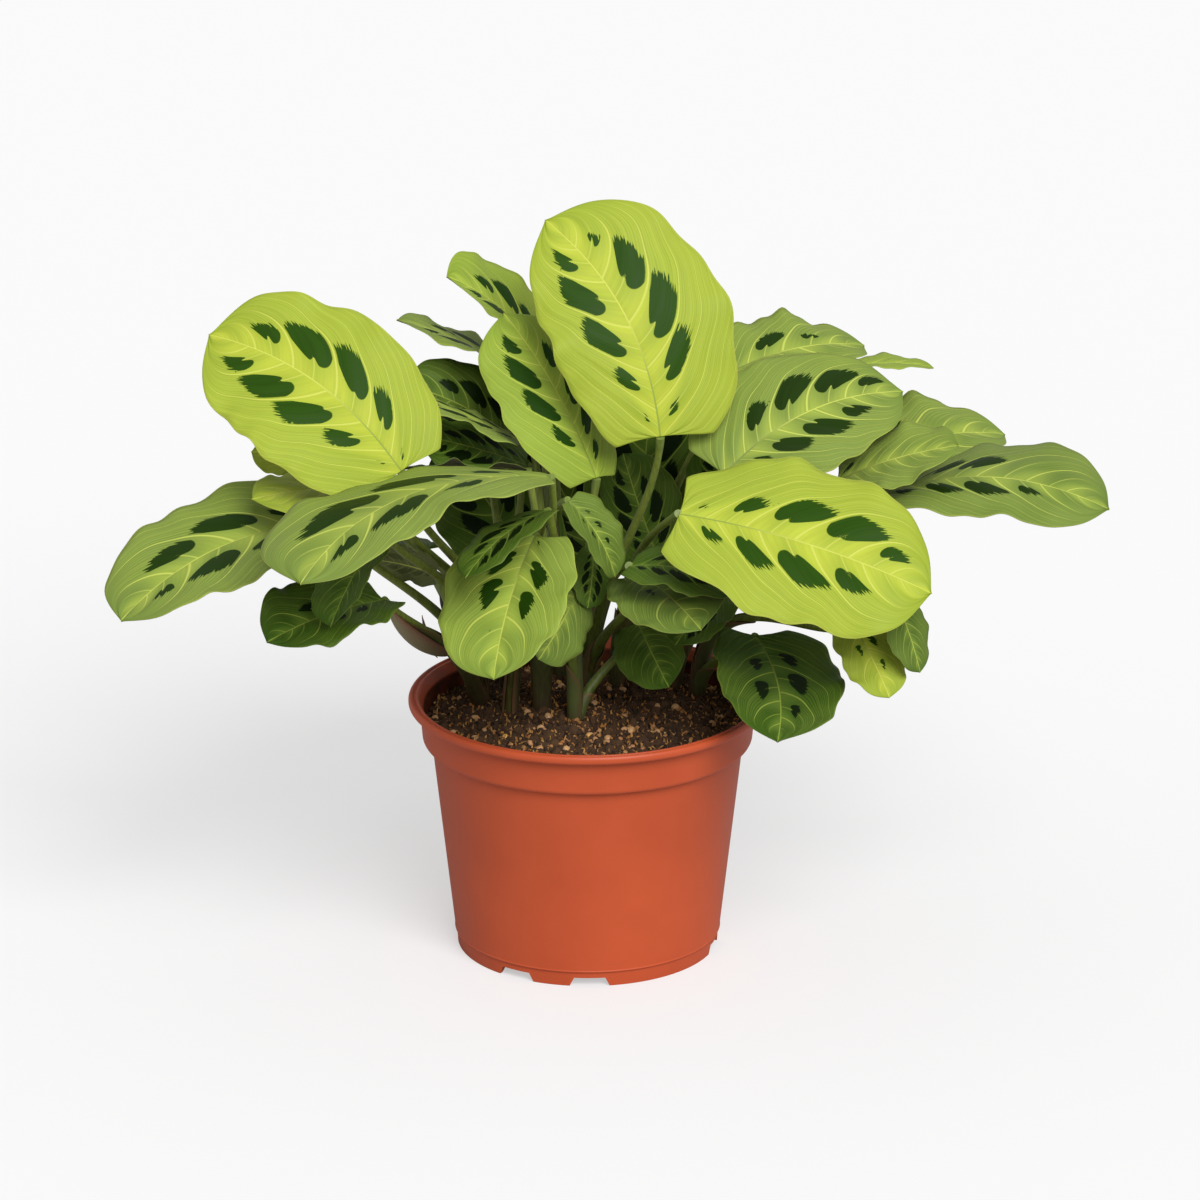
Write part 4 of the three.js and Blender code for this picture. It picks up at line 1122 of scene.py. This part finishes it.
# A blotch, in shares of the half blade and of the panel between two side veins.
BLOTCH_INNER = 0.16
BLOTCH_LEAST = 0.05
BLOTCH_HALF = 0.45
BLOTCH_TAPER = 0.2
BLOTCH_CLEFT = 0.09
CLEFT_PLACE = 0.08
CLEFT_SHARPNESS = 55.0
BLOTCH_SIDES = 0.14
BLOTCH_SLANT = 0.05
BLOTCH_SOFTNESS = 0.014
BLOTCH_RAG = 0.15
LEFT_MARKS = (0.0, 0.45, 0.57, 0.57, 0.43)
RIGHT_MARKS = (0.4, 0.52, 0.57, 0.43)
# How old a leaf of each tint is, and how far leaves of one tint differ.
AGES = {"lime": 0.0, "green": 0.33, "grey_green": 0.62, "dark_green": 0.95}
AGE_SPREAD = 0.03


def blade_outline(t):
    """The blade's half width, as a share of the widest: round at the base, drawn out at the tip."""
    q = t ** 0.85
    full = np.maximum(0, 4 * q * (1 - q)) ** (0.5 - 0.1 * t)
    return full * (1 - np.exp((t - 1) / TIP_TAPER))


def blade_mesh(name, leaf, aged):
    """A leaf's blade, with the numbers that its material draws the veins and blotches by."""
    length, at = blade_frame(leaf)
    rows = int(np.clip(length * ROWS_PER_LENGTH, *BLADE_ROWS))
    columns = 2 * int(np.clip(leaf["half"] * COLUMNS_PER_WIDTH, *HALF_COLUMNS))
    t = 0.5 - 0.5 * np.cos(np.linspace(0, math.pi, rows + 1))
    even = np.linspace(-1, 1, columns + 1)
    spaced = even * (INNER_SPACING + (1 - INNER_SPACING) * np.abs(even))
    t, u = np.meshgrid(t, spaced, indexing="ij")
    out, side = np.abs(u), np.sign(u)
    point, along, normal, across = at(t[:, 0])
    fold = np.radians(leaf.get("fold", BLADE_FOLD))
    curl = np.radians(leaf.get("curl", BLADE_CURL))
    phase = leaf.get("phase", 0) + 0.9 * side
    uneven = 1 + MARGIN_UNEVEN * (np.sin(19 * t + 3 * phase) + np.sin(31 * t - 2 * phase))
    half = leaf["half"] * (1 + side * leaf.get("lean", 0)) * blade_outline(t) * uneven
    sideways = half * (np.sin(fold + curl * out) - math.sin(fold)) / curl
    lift = half * (math.cos(fold) - np.cos(fold + curl * out)) / curl
    ripple = np.sin(5 * math.pi * t + phase) * np.sqrt(np.maximum(0, np.sin(math.pi * t)))
    frill = FRILL * np.sin(13 * math.pi * t + 2 * phase) * np.sin(math.pi * t)
    wave = leaf["wave"] * (out ** 2.5 * ripple + out ** 5 * frill)
    lobe = BASE_LOBE * leaf["half"] * out ** 2 * (1 - t) ** 4 * np.minimum(1, t / 0.05)
    start = t - VEIN_LEAVING * out - VEIN_SWEEP * out ** VEIN_BEND
    vein = leaf.get("panels", VEIN_PANELS) * start + VEIN_CROWDING * np.sin(math.tau * start)
    vein += np.where(u < 0, *leaf.get("shifts", VEIN_SHIFTS))
    middle = (point[:, None] + across[:, None] * (sideways * side)[..., None]
              + normal[:, None] * (lift + wave)[..., None] - along[:, None] * lobe[..., None])
    away = half * out
    quilt = -QUILT * np.cos(math.tau * vein) * np.sin(math.pi * out ** 0.7)
    quilt *= min(1.0, leaf["half"] / 24)
    skin = BLADE_EDGE + (BLADE_THICKNESS - BLADE_EDGE) * (1 - out ** 4)
    ridge = np.exp(-(away / RIB_WIDTH) ** 2) * (1 - t)
    over = quilt + skin / 2 - RIB_GROOVE * ridge
    below = quilt - skin / 2 - RIB_HEIGHT * ridge
    panel = np.floor(vein).astype(int)
    far = np.zeros_like(t)
    for sided, lengths in zip((u < 0, u >= 0), leaf.get("marks", (LEFT_MARKS, RIGHT_MARKS))):
        for number, reach in enumerate(lengths):
            far[sided & (panel == number)] = reach
    age = np.full_like(t, aged)
    under = np.ones_like(t)
    numbers = {"out": (out, out), "vein": (vein, vein), "away": (away, away), "rise": (t, t),
               "far": (far, far), "age": (age, age), "under": (0 * under, under)}
    normal = normal[:, None]
    return sheet_mesh(name, middle + normal * over[..., None], middle + normal * below[..., None],
                      numbers)


def group_of(name, given, made):
    """A shader node group with those float inputs and outputs, and its inputs' sockets."""
    tree = bpy.data.node_groups.new(name, "ShaderNodeTree")
    for socket in given:
        tree.interface.new_socket(socket, in_out="INPUT", socket_type="NodeSocketFloat")
    for socket in made:
        tree.interface.new_socket(socket, in_out="OUTPUT", socket_type="NodeSocketFloat")
    return tree, place(tree, "NodeGroupInput").outputs


def line_group():
    """A thin line wherever a coordinate passes a whole number."""
    tree, given = group_of("vein lines", ("Coordinate", "Width"), ("Line", "Distance"))
    part = reckon(tree, "FRACT", given["Coordinate"])
    centred = reckon(tree, "ABSOLUTE", reckon(tree, "SUBTRACT", part, 0.5))
    distance = reckon(tree, "SUBTRACT", 0.5, centred)
    thin = reckon(tree, "MULTIPLY", given["Width"], 0.3)
    place(tree, "NodeGroupOutput", {"Line": ramp(tree, distance, given["Width"], thin),
                                    "Distance": distance})
    return tree


def blotch_group():
    """The dark blotch between two side veins: two round lobes inside, ragged spikes outside."""
    tree, given = group_of("blotches", ("Vein", "Out", "Far", "Rag", "Cleft"), ("Blotch",))
    part = reckon(tree, "SUBTRACT", reckon(tree, "FRACT", given["Vein"]), 0.5)
    reach = reckon(tree, "SUBTRACT", given["Far"], BLOTCH_INNER)
    width = reckon(tree, "MINIMUM", reckon(tree, "MULTIPLY_ADD", reach, 0.9, 0.14), BLOTCH_HALF)
    x = reckon(tree, "DIVIDE", part, width)
    x_steep = reckon(tree, "POWER", reckon(tree, "ABSOLUTE", x), 2.5)
    rounded = reckon(tree, "MULTIPLY_ADD", x_steep, BLOTCH_TAPER, BLOTCH_INNER)
    dip = reckon(tree, "SUBTRACT", x, CLEFT_PLACE)
    dip = reckon(tree, "MULTIPLY", reckon(tree, "MULTIPLY", dip, dip), -CLEFT_SHARPNESS)
    dip = reckon(tree, "EXPONENT", dip)
    cleft = reckon(tree, "MULTIPLY_ADD", given["Cleft"], BLOTCH_CLEFT, 0.01)
    notched = reckon(tree, "MULTIPLY_ADD", dip, cleft, rounded)
    inner = reckon(tree, "SUBTRACT", given["Out"], notched)
    torn = reckon(tree, "MULTIPLY_ADD", given["Rag"], BLOTCH_RAG, given["Far"])
    torn = reckon(tree, "MULTIPLY_ADD", x, -BLOTCH_SLANT, torn)
    torn = reckon(tree, "MULTIPLY_ADD", x_steep, -BLOTCH_SLANT, torn)
    outer = reckon(tree, "SUBTRACT", torn, given["Out"])
    sides = reckon(tree, "SUBTRACT", 1.0, reckon(tree, "ABSOLUTE", x))
    sides = reckon(tree, "MULTIPLY", sides, BLOTCH_SIDES)
    inside = reckon(tree, "MINIMUM", reckon(tree, "MINIMUM", inner, outer), sides)
    mask = ramp(tree, inside, 0.0, BLOTCH_SOFTNESS)
    there = ramp(tree, given["Far"], BLOTCH_INNER, BLOTCH_INNER + BLOTCH_LEAST)
    place(tree, "NodeGroupOutput", {"Blotch": reckon(tree, "MULTIPLY", mask, there)})
    return tree


def by_age(tree, age, codes):
    """A colour that goes from the young leaf's to the old one's."""
    last = len(codes) - 1
    return shaded(tree, age, [(index / last, colour(code)) for index, code in enumerate(codes)])


def lines_along(tree, lines, coordinate, width):
    """The line group placed in a material: its lines, and the distance to the nearest one."""
    return place(tree, "ShaderNodeGroup", {"Coordinate": coordinate, "Width": width},
                 node_tree=lines).outputs


# Greens from the youngest leaf to the oldest.
OUTER_GREENS = ("9fb038", "90a83c", "798e40", "3e5c16")
INNER_GREENS = ("b8c341", "a7bd46", "9bad4a", "5c7a28")
VEIN_GREENS = ("cdd35f", "c6d05a", "c8d262", "93a542")
BLOTCH_GREENS = ("284a02", "1e3f02", "1e3503", "0e1e03")
UNDER_GREENS = ("7f8c44", "707f46", "6b7048", "4c4a38")
RIB_GREENS = ("93a548", "8d9f44", "85944a", "7b8c3c")
SIDE_VEIN_WIDTH = 0.035
HALF_VEIN_PLACE = 0.46
HALF_VEIN_WIDTH = 0.025
FINE_VEINS = 10.0
FINE_VEIN_WIDTH = 0.3
AGE_CLOUDS = 0.3
ZONE_BY_AGE = 0.12
ZONE_EDGES = (0.64, 0.18)
RAG_MIDDLE = 0.55
RIB_HALF = 0.42
LEAF_SPECULAR = 0.12
LEAF_ROUGHNESS = (0.46, 0.58)


def leaf_finish():
    """Satin green skin with paler veins and inner zone, dark blotches and a duller underside."""
    material, tree, shader = new_material("leaf skin")
    vein, out, away = read(tree, "vein"), read(tree, "out"), read(tree, "away")
    rise, age, under = read(tree, "rise"), read(tree, "age"), read(tree, "under")
    lines = line_group()
    cloud = noise(tree, object_spot(tree), 38, 3)
    aged = reckon(tree, "MULTIPLY_ADD", reckon(tree, "SUBTRACT", cloud, 0.5), AGE_CLOUDS, age)
    own = reckon(tree, "MULTIPLY", age, 300.0)
    across = place(tree, "ShaderNodeCombineXYZ", {0: reckon(tree, "MULTIPLY", vein, 9.0),
                                                  1: reckon(tree, "MULTIPLY", out, 1.6), 2: own})
    streak = noise(tree, across.outputs[0], 1.3, 4)
    rag = place(tree, "ShaderNodeTexNoise", {"W": reckon(tree, "MULTIPLY_ADD", vein, 16.0, own),
                                             "Scale": 1.0, "Detail": 2},
                noise_dimensions="1D").outputs[0]
    cleft = place(tree, "ShaderNodeTexWhiteNoise", {
        "W": reckon(tree, "ADD", reckon(tree, "FLOOR", vein), own)},
        noise_dimensions="1D").outputs[0]
    halfway = reckon(tree, "ADD", vein, HALF_VEIN_PLACE)
    finely = reckon(tree, "MULTIPLY", vein, FINE_VEINS)
    side_line = lines_along(tree, lines, vein, SIDE_VEIN_WIDTH)
    half_line = lines_along(tree, lines, halfway, HALF_VEIN_WIDTH)
    fine_line = lines_along(tree, lines, finely, FINE_VEIN_WIDTH)

    zone = reckon(tree, "MULTIPLY_ADD", side_line["Distance"], 0.75, out)
    zone = reckon(tree, "MULTIPLY_ADD", reckon(tree, "SUBTRACT", streak, 0.5), 0.3, zone)
    zone = ramp(tree, reckon(tree, "MULTIPLY_ADD", age, ZONE_BY_AGE, zone), *ZONE_EDGES)
    skin = mixed(tree, zone, by_age(tree, aged, OUTER_GREENS), by_age(tree, aged, INNER_GREENS))
    shade = ramp(tree, streak, 0.25, 0.75, 0.9, 1.08)
    skin = mixed(tree, 1.0, skin, shade, "MULTIPLY")
    veins = by_age(tree, aged, VEIN_GREENS)
    near_tip = ramp(tree, rise, 0.97, 0.82)
    strong = reckon(tree, "MULTIPLY", side_line["Line"], ramp(tree, out, 0.3, 1.0, 0.95, 0.5))
    weaker = reckon(tree, "MULTIPLY", half_line["Line"], ramp(tree, out, 0.25, 0.5, 0.6, 0.25))
    weak = reckon(tree, "MULTIPLY", fine_line["Line"], ramp(tree, out, 0.25, 0.55, 0.04, 0.2))
    veined = reckon(tree, "MAXIMUM", strong, reckon(tree, "MAXIMUM", weaker, weak))
    veined = reckon(tree, "MULTIPLY", veined, near_tip)
    skin = mixed(tree, veined, skin, veins)
    blotch = place(tree, "ShaderNodeGroup", {
        "Vein": vein, "Out": out, "Far": read(tree, "far"), "Cleft": cleft,
        "Rag": reckon(tree, "SUBTRACT", rag, RAG_MIDDLE)}, node_tree=blotch_group()).outputs[0]
    dark = mixed(tree, 1.0, by_age(tree, aged, BLOTCH_GREENS), shade, "MULTIPLY")
    marked = mixed(tree, blotch, skin, dark)
    thin = reckon(tree, "MULTIPLY_ADD", rise, -0.6 * RIB_HALF, RIB_HALF)
    rib = ramp(tree, away, thin, reckon(tree, "MULTIPLY", thin, 0.5))
    rib_skin = mixed(tree, ramp(tree, rise, 0.15, 0.55), by_age(tree, aged, RIB_GREENS), veins)
    top = mixed(tree, rib, marked, rib_skin)
    margin = ramp(tree, out, 0.97, 0.995)
    top = mixed(tree, reckon(tree, "MULTIPLY", margin, 0.4), top, veins)
    back = mixed(tree, reckon(tree, "MULTIPLY", veined, 0.5), by_age(tree, aged, UNDER_GREENS),
                 veins)
    back = mixed(tree, reckon(tree, "MULTIPLY", blotch, 0.4), back, dark)
    back = mixed(tree, rib, back, veins)
    tree.links.new(mixed(tree, under, top, back), shader.inputs["Base Color"])
    gloss = ramp(tree, streak, 0.3, 0.7, *LEAF_ROUGHNESS)
    tree.links.new(reckon(tree, "MULTIPLY_ADD", under, 0.15, gloss), shader.inputs["Roughness"])
    relief = reckon(tree, "MULTIPLY_ADD", veined, -0.5, streak)
    add_relief(tree, shader, relief, 0.3, 0.00025)
    shader.inputs["Specular IOR Level"].default_value = LEAF_SPECULAR
    return material


leaf_skin = leaf_finish()
age_draw = random.Random(11)
for name, leaf in LEAVES.items():
    aged = leaf.get("age", AGES[leaf["tint"]]) + AGE_SPREAD * age_draw.random()
    add_piece(f"blade_{name}", blade_mesh(f"blade_{name}", leaf, aged), leaf_skin,
              f"leaf_{leaf['tint']}", f"leaf_{name}")
